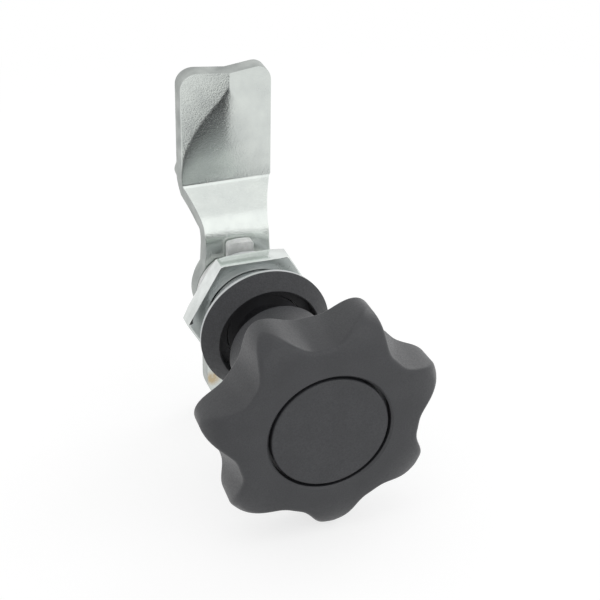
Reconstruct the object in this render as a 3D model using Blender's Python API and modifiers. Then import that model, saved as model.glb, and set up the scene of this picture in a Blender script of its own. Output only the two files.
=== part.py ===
"""Cam latch for a panel door: star knob in front, threaded barrel through the panel, cranked arm behind.

The latch turns about the Y axis. The origin lies on that axis in the plane of the panel's outer face, the knob
is on the side of -Y, the arm on the side of +Y, and +Z is up. Every piece is drawn in the front view of the
latch: local X to the right, local Y up and local Z out of the panel towards the hand. Two empties at the
origin turn that front view upright, one for the fixed pieces and one for the pieces that turn.
"""

from math import asin, atan2, cos, pi, radians, sin, sqrt, tan

import bmesh
import bpy

MM = 0.001

# Clearances
FIT = 0.3 * MM
STOP_PLAY = radians(2.0)
CUT = 2.0 * MM

# Housing: collar and barrel
BARREL_RADIUS = 11.0 * MM
BARREL_LENGTH = 16.0 * MM
BARREL_CHAMFER = 0.3 * MM
FLAT_DEPTH = 1.0 * MM
COLLAR_OVERHANG = 3.67 * MM
COLLAR_HEIGHT = 4.2 * MM
COLLAR_EDGE = 0.3 * MM
RIM_STEP = 0.37 * MM
RIM_HEIGHT = 0.9 * MM
RECESS_WIDENING = 0.2 * MM
RECESS_FLOOR = 1.0 * MM
RECESS_DRAFT = 0.3 * MM
LIP = 0.35 * MM
FLANGE_SEAT = 2.2 * MM
STOP_RECESS_DEPTH = 2.4 * MM
STOP_RECESS_WALL = 1.7 * MM

# Lock nut
NUT_WALL = 2.5 * MM
NUT_THICKNESS = 4.5 * MM
NUT_SETBACK = 5.9 * MM
CROWN_ANGLE = radians(30.0)
CROWN_LAND = 0.4
NUT_BORE_CHAMFER = 0.5 * MM

# Spindle
SHAFT_TO_BARREL = 0.5455
FLANGE_REACH = 2.5 * MM
FLANGE_THICKNESS = 2.4 * MM
SQUARE = 8.0 * MM
SQUARE_CORNER = 0.5 * MM
DRIVE_LENGTH = 17.5 * MM
THREAD_RADIUS = 2.9 * MM
TAPPED_DEPTH = 13.0 * MM
SEAL_SECTION = 0.75 * MM
SEAL_DEPTH_IN_BARREL = 6.5 * MM
SEAL_GROOVE_DEPTH = 1.8 * MM

# Stop disc
DISC_SETBACK = 1.1 * MM
DISC_THICKNESS = 2.0 * MM
TONGUE_WIDTH = 6.0 * MM
TONGUE_REACH = 2.0 * MM
TONGUE_CORNER = 0.9 * MM
NOTCH_WIDTH = 2.6 * MM
NOTCH_DEPTH = 1.5 * MM
LUG_HEIGHT = 2.0 * MM
LUG_DEPTH = 2.0 * MM
LUG_HALF_ANGLE = radians(12.0)
TURN = radians(90.0)

# Latch arm
ARM_THICKNESS = 4.0 * MM
ARM_CRANK = 8.25 * MM
ARM_TOP = 50.4 * MM
ARM_TAIL = 31.0 * MM
BLADE_WIDTH = 20.8 * MM
BLADE_CORNER = 4.0 * MM
NECK_WIDTH = 14.9 * MM
HUB_WIDTH = 19.6 * MM
LOWER_BEND = 13.8 * MM
UPPER_BEND = 23.1 * MM
LOWER_BEND_RADIUS = 5.0 * MM
UPPER_BEND_RADIUS = 1.2 * MM
RIDGE_RISE = 2.8 * MM
FACET_START = 26.0 * MM
FACET_APEX = 47.0 * MM
EDGE_ROLL = 0.5 * MM
BLADE_CELLS = 5

# Arm fasteners
ARM_WASHER_RADIUS = 9.0 * MM
ARM_WASHER_THICKNESS = 1.6 * MM
SPRING_WASHER_RADIUS = 5.9 * MM
SPRING_WASHER_THICKNESS = 1.6 * MM
SPRING_WASHER_SLIT = 0.8 * MM
HEX_HEAD_FLATS = 10.0 * MM
HEX_HEAD_HEIGHT = 4.0 * MM

# Star knob
KNOB_STANDOFF = 8.85 * MM
KNOB_LENGTH = 33.4 * MM
HEAD_THICKNESS = 11.3 * MM
NECK_RADIUS = 10.8 * MM
NECK_CHAMFER = 0.5 * MM
NECK_FILLET = 3.0 * MM
LOBES = 7
LOBE_ANGLE = radians(17.2)
LOBE_SHARPNESS = 1.7
TIP_RADIUS = 25.9 * MM
SCALLOP_RADIUS = 19.7 * MM
TIP_RADIUS_AT_BACK = 25.5 * MM
SCALLOP_RADIUS_AT_BACK = 21.3 * MM
BACK_EDGE = 0.35 * MM
DOME_WIDTH = 10.0 * MM
DOME_DROP = 5.9 * MM
CREASE = 0.5 * MM
STEPS_PER_LOBE = 14
CORE_CENTRE = 18.6 * MM
CORE_LENGTH = 8.0 * MM
CORE_WIDTH = 7.2 * MM
CORE_DEPTH = 5.5 * MM
CORE_DRAFT = 0.4 * MM

# Knob insert, cap and screw
INSERT_FLATS = 14.0 * MM
INSERT_LENGTH = 18.5 * MM
WEB = 3.0 * MM
CAP_RADIUS = 12.6 * MM
CAP_GROOVE = 0.5 * MM
CAP_POCKET_CHAMFER = 0.35 * MM
CAP_SETBACK = 0.2 * MM
CAP_THICKNESS = 1.9 * MM
CAP_EDGE = 0.4 * MM
CAP_SKIRT_RADIUS = 11.6 * MM
CAP_SKIRT_WALL = 1.2 * MM
CAP_SKIRT_LENGTH = 2.7 * MM
CAP_SEAT_DEPTH = 3.9 * MM
SCREW_HEAD_RADIUS = 5.0 * MM
SCREW_HEAD_HEIGHT = 6.0 * MM
SOCKET_FLATS = 5.0 * MM
SOCKET_DEPTH = 3.0 * MM
KNOB_WASHER_RADIUS = 6.2 * MM
KNOB_WASHER_THICKNESS = 1.2 * MM

# Fineness of round shapes
ROUND = 64
SMALL_ROUND = 32

# Diameters that follow from the barrel
COLLAR_RADIUS = BARREL_RADIUS + COLLAR_OVERHANG
RIM_RADIUS = COLLAR_RADIUS - RIM_STEP
RECESS_RADIUS = BARREL_RADIUS + RECESS_WIDENING
BARREL_FLATS = 2 * (BARREL_RADIUS - FLAT_DEPTH)
NUT_ACROSS_FLATS = 2 * (BARREL_RADIUS + NUT_WALL)
DISC_RADIUS = BARREL_RADIUS - DISC_SETBACK
TONGUE_RADIUS = BARREL_RADIUS + TONGUE_REACH
NOTCH_RADIUS = DISC_RADIUS - NOTCH_DEPTH
SHAFT_RADIUS = BARREL_RADIUS * SHAFT_TO_BARREL
FLANGE_RADIUS = SHAFT_RADIUS + FLANGE_REACH
SEAL_GROOVE_BASE = SHAFT_RADIUS - SEAL_GROOVE_DEPTH

# Radii of the knob's front
FRONT_FLAT = TIP_RADIUS - DOME_WIDTH
POCKET_RADIUS = CAP_RADIUS + CAP_GROOVE

# Heights that follow from the sizes above, along local Z
KNOB_FRONT = KNOB_STANDOFF + KNOB_LENGTH
HEAD_BACK = KNOB_FRONT - HEAD_THICKNESS
FLANGE_BACK = FIT - FLANGE_SEAT
FLANGE_FRONT = FLANGE_BACK + FLANGE_THICKNESS
DISC_FRONT = -BARREL_LENGTH - FIT
DISC_BACK = DISC_FRONT - DISC_THICKNESS
ARM_FRONT = DISC_BACK - FIT
ARM_BACK = ARM_FRONT - ARM_THICKNESS
SPINDLE_FRONT = KNOB_STANDOFF + DRIVE_LENGTH
SPINDLE_BACK = ARM_BACK + FIT
WASHER_BACK = ARM_BACK - FIT - ARM_WASHER_THICKNESS
SPRING_BACK = WASHER_BACK - FIT - SPRING_WASHER_THICKNESS
HEX_HEAD_FRONT = SPRING_BACK - FIT
INSERT_BACK = KNOB_STANDOFF + FIT
INSERT_FRONT = INSERT_BACK + INSERT_LENGTH
INSERT_SEAT = INSERT_FRONT + FIT
SCREW_SEAT = INSERT_SEAT + WEB
SCREW_HEAD_BACK = SCREW_SEAT + FIT + KNOB_WASHER_THICKNESS + FIT
SCREW_HEAD_FRONT = SCREW_HEAD_BACK + SCREW_HEAD_HEIGHT
CAP_FRONT = KNOB_FRONT - CAP_SETBACK
CAP_BACK = CAP_FRONT - CAP_THICKNESS
CAP_SEAT = CAP_BACK - FIT
SKIRT_BACK = CAP_BACK - CAP_SKIRT_LENGTH
SKIRT_SEAT = CAP_SEAT - CAP_SEAT_DEPTH

# Holes that follow from what goes through them
BORE_RADIUS = SHAFT_RADIUS + FIT
NUT_BORE = BARREL_RADIUS + FIT
SQUARE_HOLE = SQUARE + 2 * FIT
SCREW_HOLE = THREAD_RADIUS + FIT
STOP_RECESS_RADIUS = BARREL_RADIUS - STOP_RECESS_WALL
LUG_RADIUS = STOP_RECESS_RADIUS - FIT


def empty_scene():
    """Remove what the scene holds."""
    for obj in list(bpy.data.objects):
        bpy.data.objects.remove(obj, do_unlink=True)
    for collection in list(bpy.data.collections):
        bpy.data.collections.remove(collection)


empty_scene()
PARTS = bpy.data.collections.new("cam_latch")
CUTTERS = bpy.data.collections.new("cutters")
bpy.context.scene.collection.children.link(PARTS)
bpy.context.scene.collection.children.link(CUTTERS)


def front_view(name):
    """An empty at the origin that turns the front view upright, for the pieces that move together."""
    empty = bpy.data.objects.new(name, None)
    empty.rotation_euler = (pi / 2, 0.0, 0.0)
    empty.empty_display_size = 0.02
    PARTS.objects.link(empty)
    return empty


FIXED = front_view("panel_side")
TURNING = front_view("knob_turn_axis")


def finish(name, colour, roughness, metallic):
    """A material with the colour and gloss of one sub-part."""
    material = bpy.data.materials.new(name)
    material.use_nodes = True
    shader = material.node_tree.nodes["Principled BSDF"]
    shader.inputs["Base Color"].default_value = (*colour, 1.0)
    shader.inputs["Roughness"].default_value = roughness
    shader.inputs["Metallic"].default_value = metallic
    return material


def shade(mesh, angle=35.0):
    """Shade rounds smooth and keep edges sharper than the angle."""
    mesh.shade_smooth()
    mesh.set_sharp_from_angle(angle=radians(angle))


def add_object(name, mesh, parent, collection=None):
    """Link a mesh as an object under the empty that carries it."""
    obj = bpy.data.objects.new(name, mesh)
    (collection or PARTS).objects.link(obj)
    obj.parent = parent
    return obj


def as_cutter(obj):
    """Show an object as a wire guide that isn't part of the product."""
    obj.hide_render = True
    obj.display_type = "WIRE"
    return obj


def turned(name, profile, parent, segments=ROUND, cutter=False):
    """Turn a profile of (radius, height) points about local Z. It runs down the outer side."""
    bm = bmesh.new()
    points = [bm.verts.new((radius, 0.0, height)) for radius, height in profile]
    for first, second in zip(points, points[1:]):
        bm.edges.new((first, second))
    if profile[0][0] > 0.0:
        bm.edges.new((points[-1], points[0]))
    mesh = bpy.data.meshes.new(name)
    bm.to_mesh(mesh)
    bm.free()
    draft = add_object(name + "_profile", mesh, None, CUTTERS)
    screw = draft.modifiers.new("turn", "SCREW")
    screw.axis = "Z"
    screw.angle = 2 * pi
    screw.steps = segments
    screw.render_steps = segments
    screw.use_merge_vertices = True
    screw.merge_threshold = 0.00001
    screw.use_smooth_shade = True
    solid = baked(name, draft)
    return add_object(name, solid, parent, CUTTERS if cutter else PARTS)


def baked(name, draft):
    """The evaluated mesh of a draft object, welded. The draft is removed."""
    bpy.context.view_layer.update()
    graph = bpy.context.evaluated_depsgraph_get()
    mesh = bpy.data.meshes.new_from_object(draft.evaluated_get(graph))
    mesh.name = name
    bpy.data.objects.remove(draft, do_unlink=True)
    bm = bmesh.new()
    bm.from_mesh(mesh)
    bmesh.ops.remove_doubles(bm, verts=bm.verts, dist=0.000005)
    bmesh.ops.recalc_face_normals(bm, faces=bm.faces)
    bm.to_mesh(mesh)
    bm.free()
    shade(mesh)
    return mesh


def plate(name, outline, back, front, parent, cutter=False):
    """A flat outline of (x, y) points, given thickness from the back height to the front height."""
    curve = bpy.data.curves.new(name, "CURVE")
    curve.dimensions = "2D"
    curve.fill_mode = "BOTH"
    curve.extrude = (front - back) / 2
    spline = curve.splines.new("POLY")
    spline.points.add(len(outline) - 1)
    for point, (x, y) in zip(spline.points, outline):
        point.co = (x, y, 0.0, 1.0)
    spline.use_cyclic_u = True
    draft = bpy.data.objects.new(name + "_outline", curve)
    CUTTERS.objects.link(draft)
    mesh = baked(name, draft)
    bpy.data.curves.remove(curve)
    for vertex in mesh.vertices:
        vertex.co.z += (front + back) / 2
    obj = add_object(name, mesh, parent, CUTTERS if cutter else PARTS)
    return as_cutter(obj) if cutter else obj


def polygon(across_flats, sides, turn=0.0):
    """The corners of a regular outline, by its width across flats."""
    radius = across_flats / 2 / cos(pi / sides)
    return [(radius * cos(turn + 2 * pi * i / sides), radius * sin(turn + 2 * pi * i / sides))
            for i in range(sides)]


def rounded_square(side, corner, steps=3):
    """A square with rounded corners."""
    half = side / 2 - corner
    points = []
    for quarter in range(4):
        centre = pi / 4 + quarter * pi / 2
        cx = half * (1 if cos(centre) > 0 else -1)
        cy = half * (1 if sin(centre) > 0 else -1)
        for i in range(steps + 1):
            angle = quarter * pi / 2 + i * pi / 2 / steps
            points.append((cx + corner * cos(angle), cy + corner * sin(angle)))
    return points


def arc(radius, start, end, steps):
    """Points along an arc about the axis."""
    return [(radius * cos(start + (end - start) * i / steps), radius * sin(start + (end - start) * i / steps))
            for i in range(steps + 1)]


def boolean(obj, other, operation="DIFFERENCE"):
    """Cut, join or keep the common part, exactly."""
    modifier = obj.modifiers.new(operation.lower() + "_" + other.name, "BOOLEAN")
    modifier.operation = operation
    modifier.solver = "EXACT"
    modifier.object = other
    as_cutter(other)


def pillar(name, outline, back, front, parent):
    """A prism that is used to cut or to join."""
    return plate(name, outline, back, front, parent, cutter=True)


def round_hole(name, radius, back, front, parent, segments=SMALL_ROUND):
    """A cylinder that is used to cut."""
    bm = bmesh.new()
    bmesh.ops.create_cone(bm, cap_ends=True, segments=segments, radius1=radius, radius2=radius,
                          depth=front - back)
    bmesh.ops.translate(bm, verts=bm.verts, vec=(0.0, 0.0, (front + back) / 2))
    mesh = bpy.data.meshes.new(name)
    bm.to_mesh(mesh)
    bm.free()
    shade(mesh)
    return as_cutter(add_object(name, mesh, parent, CUTTERS))


def crowned_blank(name, across_flats, back, front, parent):
    """The turned blank that a hexagon is kept within: a cone takes the corners off its back face."""
    flat = across_flats / 2
    corner = flat / cos(pi / 6)
    land = flat + (corner - flat) * CROWN_LAND
    slope = tan(CROWN_ANGLE)
    return turned(name, [
        (0.0, front + CUT),
        (corner + CUT, front + CUT),
        (corner + CUT, back + (corner + CUT - land) * slope),
        (land - CUT, back - CUT * slope),
        (0.0, back - CUT * slope),
    ], parent, cutter=True)


# Housing

def build_housing():
    """The casting: conical collar with a recess, barrel with two flats, bore and stop recess."""
    recess_base = RECESS_RADIUS - RECESS_DRAFT
    seat_radius = FLANGE_RADIUS + FIT
    profile = [
        (RECESS_RADIUS, COLLAR_HEIGHT - LIP),
        (RECESS_RADIUS + LIP, COLLAR_HEIGHT),
        (COLLAR_RADIUS, RIM_HEIGHT + COLLAR_EDGE),
        (COLLAR_RADIUS, RIM_HEIGHT),
        (RIM_RADIUS, RIM_HEIGHT),
        (RIM_RADIUS, 0.0),
        (BARREL_RADIUS, 0.0),
        (BARREL_RADIUS, BARREL_CHAMFER - BARREL_LENGTH),
        (BARREL_RADIUS - BARREL_CHAMFER, -BARREL_LENGTH),
        (BORE_RADIUS, -BARREL_LENGTH),
        (BORE_RADIUS, -FLANGE_SEAT),
        (seat_radius, -FLANGE_SEAT),
        (seat_radius, RECESS_FLOOR),
        (recess_base, RECESS_FLOOR),
    ]
    housing = turned("housing", profile, FIXED)
    half = BARREL_FLATS / 2
    reach = BARREL_RADIUS + CUT
    for side, name in ((1, "barrel_flat_right"), (-1, "barrel_flat_left")):
        block = [(side * half, -reach), (side * reach, -reach), (side * reach, reach), (side * half, reach)]
        boolean(housing, pillar(name, block, -BARREL_LENGTH - CUT, 0.0, FIXED))
    low = pi / 2 - TURN - LUG_HALF_ANGLE - STOP_PLAY
    high = pi / 2 + LUG_HALF_ANGLE + STOP_PLAY
    sector = arc(STOP_RECESS_RADIUS, low, high, 14) + arc(SHAFT_RADIUS * 0.8, high, low, 8)
    boolean(housing, pillar("stop_recess", sector, -BARREL_LENGTH - CUT,
                            STOP_RECESS_DEPTH - BARREL_LENGTH, FIXED))
    housing.data.materials.append(finish("black_coated_zinc", (0.035, 0.035, 0.037), 0.55, 0.0))
    return housing


# Lock nut

def build_nut():
    """The thin hexagon nut, with the corners of its back face turned off."""
    back = -NUT_SETBACK - NUT_THICKNESS
    nut = plate("lock_nut", polygon(NUT_ACROSS_FLATS, 6), back, -NUT_SETBACK, FIXED)
    boolean(nut, crowned_blank("nut_blank", NUT_ACROSS_FLATS, back, -NUT_SETBACK, FIXED), "INTERSECT")
    mouth = NUT_BORE + NUT_BORE_CHAMFER
    bore = turned("nut_bore", [
        (0.0, CUT - NUT_SETBACK),
        (mouth, CUT - NUT_SETBACK),
        (mouth, -NUT_SETBACK),
        (NUT_BORE, -NUT_SETBACK - NUT_BORE_CHAMFER),
        (NUT_BORE, back + NUT_BORE_CHAMFER),
        (mouth, back),
        (mouth, back - CUT),
        (0.0, back - CUT),
    ], FIXED, cutter=True)
    boolean(nut, bore)
    nut.data.materials.append(finish("zinc_plated_steel_nut", (0.62, 0.64, 0.62), 0.3, 1.0))
    return nut


# Spindle and its seal

def build_spindle():
    """The shaft: square drive in front, flange on its seat, seal groove, and square for disc and arm."""
    groove_front = -SEAL_DEPTH_IN_BARREL + SEAL_SECTION + FIT
    groove_back = -SEAL_DEPTH_IN_BARREL - SEAL_SECTION - FIT
    shoulder = DISC_FRONT
    spindle = turned("spindle", [
        (0.0, KNOB_STANDOFF),
        (SHAFT_RADIUS, KNOB_STANDOFF),
        (SHAFT_RADIUS, FLANGE_FRONT),
        (FLANGE_RADIUS, FLANGE_FRONT),
        (FLANGE_RADIUS, FLANGE_BACK),
        (SHAFT_RADIUS, FLANGE_BACK),
        (SHAFT_RADIUS, groove_front),
        (SEAL_GROOVE_BASE, groove_front),
        (SEAL_GROOVE_BASE, groove_back),
        (SHAFT_RADIUS, groove_back),
        (SHAFT_RADIUS, shoulder),
        (0.0, shoulder),
    ], TURNING, SMALL_ROUND)
    square = rounded_square(SQUARE, SQUARE_CORNER)
    overlap = TAPPED_DEPTH / 6
    boolean(spindle, pillar("front_square", square, KNOB_STANDOFF - overlap, SPINDLE_FRONT, TURNING), "UNION")
    boolean(spindle, pillar("rear_square", square, SPINDLE_BACK, shoulder + overlap, TURNING), "UNION")
    boolean(spindle, round_hole("front_thread", SCREW_HOLE, SPINDLE_FRONT - TAPPED_DEPTH,
                                SPINDLE_FRONT + CUT, TURNING, 24))
    boolean(spindle, round_hole("rear_thread", SCREW_HOLE, SPINDLE_BACK - CUT,
                                SPINDLE_BACK + TAPPED_DEPTH, TURNING, 24))
    spindle.data.materials.append(finish("dark_zinc_spindle", (0.08, 0.08, 0.085), 0.4, 1.0))

    bpy.ops.mesh.primitive_torus_add(major_radius=SEAL_GROOVE_BASE + FIT + SEAL_SECTION,
                                     minor_radius=SEAL_SECTION, major_segments=SMALL_ROUND,
                                     minor_segments=8)
    seal = bpy.context.object
    seal.name = seal.data.name = "spindle_seal"
    for collection in list(seal.users_collection):
        collection.objects.unlink(seal)
    PARTS.objects.link(seal)
    seal.parent = TURNING
    seal.location = (0.0, 0.0, -SEAL_DEPTH_IN_BARREL)
    shade(seal.data, 80.0)
    seal.data.materials.append(finish("seal_rubber", (0.02, 0.02, 0.02), 0.7, 0.0))
    return spindle, seal


# Stop disc

def tongue_end(half):
    """The end of the tongue from right to left: an arc about the axis between two rounded corners."""
    inset = half - TONGUE_CORNER
    up = sqrt((TONGUE_RADIUS - TONGUE_CORNER) ** 2 - inset ** 2)
    lean = atan2(up, inset)
    corner = arc(TONGUE_CORNER, 0.0, lean, 3)
    right = [(inset + x, up + y) for x, y in corner]
    left = [(-x, y) for x, y in reversed(right)]
    return right + arc(TONGUE_RADIUS, lean, pi - lean, 4)[1:-1] + left


def build_stop_disc():
    """The keyed disc: a tongue between two notches at the top, and a lug that runs in the stop recess."""
    half = TONGUE_WIDTH / 2
    outer = half + NOTCH_WIDTH
    start = pi / 2 + asin(outer / DISC_RADIUS)
    end = 2 * pi + pi / 2 - asin(outer / DISC_RADIUS)
    outline = arc(DISC_RADIUS, start, end, 48)
    outline.append((outer, NOTCH_RADIUS))
    outline.append((half, NOTCH_RADIUS))
    outline += tongue_end(half)
    outline.append((-half, NOTCH_RADIUS))
    outline.append((-outer, NOTCH_RADIUS))
    disc = plate("stop_disc", outline, DISC_BACK, DISC_FRONT, TURNING)
    low = pi / 2 - LUG_HALF_ANGLE
    high = pi / 2 + LUG_HALF_ANGLE
    sector = arc(LUG_RADIUS, low, high, 5) + arc(LUG_RADIUS - LUG_HEIGHT, high, low, 5)
    boolean(disc, pillar("stop_lug", sector, DISC_FRONT - DISC_THICKNESS / 2, DISC_FRONT + LUG_DEPTH, TURNING),
            "UNION")
    boolean(disc, pillar("disc_square", rounded_square(SQUARE_HOLE, SQUARE_CORNER), DISC_BACK - CUT,
                         DISC_FRONT + CUT, TURNING))
    disc.data.materials.append(finish("zinc_plated_steel_disc", (0.6, 0.62, 0.61), 0.32, 1.0))
    return disc


# Latch arm

def arm_path():
    """The side view of the arm's front face from its tail to its top: (up, out) points with both bends."""
    lean = atan2(ARM_CRANK, UPPER_BEND - LOWER_BEND)
    lower_run = LOWER_BEND_RADIUS * tan(lean / 2)
    upper_run = UPPER_BEND_RADIUS * tan(lean / 2)
    blade_front = ARM_FRONT - ARM_CRANK
    path = []
    for i in range(5):
        turn = lean * i / 4
        path.append((LOWER_BEND - lower_run + LOWER_BEND_RADIUS * sin(turn),
                     ARM_FRONT - LOWER_BEND_RADIUS * (1 - cos(turn))))
    for i in range(4):
        turn = lean * (3 - i) / 3
        path.append((UPPER_BEND + upper_run - UPPER_BEND_RADIUS * sin(turn),
                     blade_front + UPPER_BEND_RADIUS * (1 - cos(turn))))
    return path, blade_front


def arm_half_width(up):
    """Half the width of the arm at a height: straight tail, round hub, neck, ramp and blade."""
    neck = NECK_WIDTH / 2
    blade = BLADE_WIDTH / 2
    hub = HUB_WIDTH / 2
    if up < LOWER_BEND:
        bulge = sqrt(max(hub * hub - up * up, 0.0))
        return max(neck, bulge)
    share = min((up - LOWER_BEND) / (UPPER_BEND - LOWER_BEND), 1.0)
    return neck + (blade - neck) * share


def arm_rows():
    """Rows across the arm: (height, half width, distance out)."""
    neck = NECK_WIDTH / 2
    hub = HUB_WIDTH / 2
    rows = []
    for i in range(5):
        turn = pi / 2 * i / 4
        rows.append((-ARM_TAIL + neck * (1 - sin(pi / 2 - turn)), max(neck * sin(turn), neck * 0.06), ARM_FRONT))
    waist = asin(neck / hub)
    for i in range(9):
        turn = -(pi / 2 - waist) + 2 * (pi / 2 - waist) * i / 8
        up = hub * sin(turn)
        rows.append((up, arm_half_width(up), ARM_FRONT))
    path, blade_front = arm_path()
    for up, out in path:
        rows.append((up, arm_half_width(up), out))
    half = BLADE_WIDTH / 2
    straight_top = ARM_TOP - BLADE_CORNER
    for i in range(BLADE_CELLS):
        up = FACET_START + (FACET_APEX - FACET_START) * i / BLADE_CELLS
        if up < straight_top:
            rows.append((up, half, blade_front))
    for i in range(5):
        turn = pi / 2 * i / 4
        rows.append((straight_top + BLADE_CORNER * sin(turn), half - BLADE_CORNER * (1 - cos(turn)), blade_front))
    return rows


def ridge(x, up):
    """How far the blade is raised towards the panel: one triangular facet below two run-on facets."""
    along = (up - FACET_START) / (FACET_APEX - FACET_START)
    across = 1.0 - abs(x) / (BLADE_WIDTH / 2)
    return RIDGE_RISE * max(0.0, min(along, across, 1.0))


def build_arm():
    """Half the flat-faced arm as a bent sheet, mirrored and thickened, then the facets pressed in its blade."""
    bm = bmesh.new()
    grid = []
    for up, half, out in arm_rows():
        grid.append([bm.verts.new((half * i / BLADE_CELLS, up, out)) for i in range(BLADE_CELLS + 1)])
    for lower, upper in zip(grid, grid[1:]):
        for i in range(BLADE_CELLS):
            bm.faces.new((lower[i], lower[i + 1], upper[i]))
            bm.faces.new((lower[i + 1], upper[i + 1], upper[i]))
    mesh = bpy.data.meshes.new("arm_sheet")
    bm.to_mesh(mesh)
    bm.free()
    draft = add_object("arm_sheet", mesh, None, CUTTERS)
    mirror = draft.modifiers.new("other_half", "MIRROR")
    mirror.use_axis = (True, False, False)
    mirror.merge_threshold = 0.00001
    sheet = draft.modifiers.new("sheet", "SOLIDIFY")
    sheet.thickness = ARM_THICKNESS
    sheet.offset = -1.0
    sheet.use_even_offset = True
    mesh = baked("latch_arm", draft)
    for vertex in mesh.vertices:
        vertex.co.z += ridge(vertex.co.x, vertex.co.y)
    mesh.shade_smooth()
    arm = add_object("latch_arm", mesh, TURNING)
    roll = arm.modifiers.new("rolled_edge", "BEVEL")
    roll.width = EDGE_ROLL
    roll.segments = 2
    roll.limit_method = "ANGLE"
    roll.angle_limit = radians(60.0)
    boolean(arm, pillar("arm_square", rounded_square(SQUARE_HOLE, SQUARE_CORNER), ARM_BACK - CUT,
                        ARM_FRONT + CUT, TURNING))
    arm.data.materials.append(finish("zinc_plated_steel_arm", (0.66, 0.68, 0.66), 0.28, 1.0))
    return arm


# Arm fasteners

def build_arm_fasteners():
    """The hexagon screw in the end of the spindle, with its flat washer and split spring washer."""
    washer_front = WASHER_BACK + ARM_WASHER_THICKNESS
    washer = turned("arm_washer", [
        (ARM_WASHER_RADIUS, washer_front),
        (ARM_WASHER_RADIUS, WASHER_BACK),
        (SCREW_HOLE, WASHER_BACK),
        (SCREW_HOLE, washer_front),
    ], TURNING, 48)
    washer.data.materials.append(finish("zinc_plated_washer", (0.62, 0.64, 0.62), 0.35, 1.0))

    spring_front = SPRING_BACK + SPRING_WASHER_THICKNESS
    spring = turned("arm_lock_washer", [
        (SPRING_WASHER_RADIUS, spring_front),
        (SPRING_WASHER_RADIUS, SPRING_BACK),
        (SCREW_HOLE, SPRING_BACK),
        (SCREW_HOLE, spring_front),
    ], TURNING, SMALL_ROUND)
    slit = SPRING_WASHER_SLIT / 2
    reach = SPRING_WASHER_RADIUS + CUT
    boolean(spring, pillar("washer_slit", [(0.0, -slit), (reach, -slit), (reach, slit), (0.0, slit)],
                           SPRING_BACK - CUT, spring_front + CUT, TURNING))
    spring.data.materials.append(finish("spring_steel", (0.35, 0.35, 0.36), 0.4, 1.0))

    head_back = HEX_HEAD_FRONT - HEX_HEAD_HEIGHT
    screw = plate("arm_screw", polygon(HEX_HEAD_FLATS, 6, pi / 6), head_back, HEX_HEAD_FRONT, TURNING)
    boolean(screw, crowned_blank("screw_crown", HEX_HEAD_FLATS, head_back, HEX_HEAD_FRONT, TURNING), "INTERSECT")
    boolean(screw, round_hole("screw_shank", THREAD_RADIUS, HEX_HEAD_FRONT - HEX_HEAD_HEIGHT / 2,
                              SPINDLE_BACK + TAPPED_DEPTH - CUT / 2, TURNING, 24), "UNION")
    screw.data.materials.append(finish("zinc_plated_screw", (0.62, 0.64, 0.62), 0.32, 1.0))
    return washer, spring, screw


# Star knob

def lobe(angle):
    """How much of a lobe is at this angle: 1 at a tip, 0 in the middle of a scallop."""
    return ((1 + cos(LOBES * (angle - LOBE_ANGLE))) / 2) ** LOBE_SHARPNESS


def blend(scallop, tip, share):
    """A size between its value in a scallop and its value at a tip."""
    return scallop + (tip - scallop) * share


def dome(radius):
    """The height of the domed front at a radius: flat within, then falling towards the tips."""
    share = (radius - FRONT_FLAT) / DOME_WIDTH
    return KNOB_FRONT - DOME_DROP * (1 - sqrt(max(1 - share * share, 0.0)))


def crease(share, along):
    """A point of the rounded edge between the side of the head, at 0, and its domed front, at 1."""
    corner = blend(SCALLOP_RADIUS, TIP_RADIUS, share)
    side = (corner, dome(corner) - CREASE)
    front = (corner - CREASE, dome(corner - CREASE))
    weights = ((1 - along) ** 2, 2 * along * (1 - along), along ** 2)
    points = (side, (corner, dome(corner)), front)
    return tuple(sum(weight * point[i] for weight, point in zip(weights, points)) for i in range(2))


def dome_point(share, along):
    """A point of the domed front between the crease, at 0, and the flat middle, at 1."""
    start = asin(min((crease(share, 1.0)[0] - FRONT_FLAT) / DOME_WIDTH, 1.0))
    radius = FRONT_FLAT + DOME_WIDTH * sin(start * (1 - along))
    return radius, dome(radius)


def knob_rings():
    """The sections of the knob from the end of its neck to its front face, each a radius and height rule."""
    rings = [
        lambda share: (NECK_RADIUS - NECK_CHAMFER, KNOB_STANDOFF),
        lambda share: (NECK_RADIUS, KNOB_STANDOFF + NECK_CHAMFER),
    ]
    for i in range(5):
        turn = pi / 2 * i / 4
        rings.append(lambda share, turn=turn: (NECK_RADIUS + NECK_FILLET * (1 - cos(turn)),
                                               HEAD_BACK - NECK_FILLET * (1 - sin(turn))))
    rings.append(lambda share: (blend(SCALLOP_RADIUS_AT_BACK, TIP_RADIUS_AT_BACK, share) - BACK_EDGE, HEAD_BACK))
    rings.append(lambda share: (blend(SCALLOP_RADIUS_AT_BACK, TIP_RADIUS_AT_BACK, share), HEAD_BACK + BACK_EDGE))
    for i in range(3):
        rings.append(lambda share, i=i: crease(share, i / 2))
    for i in range(1, 6):
        rings.append(lambda share, i=i: dome_point(share, i / 5))
    return rings


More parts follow.
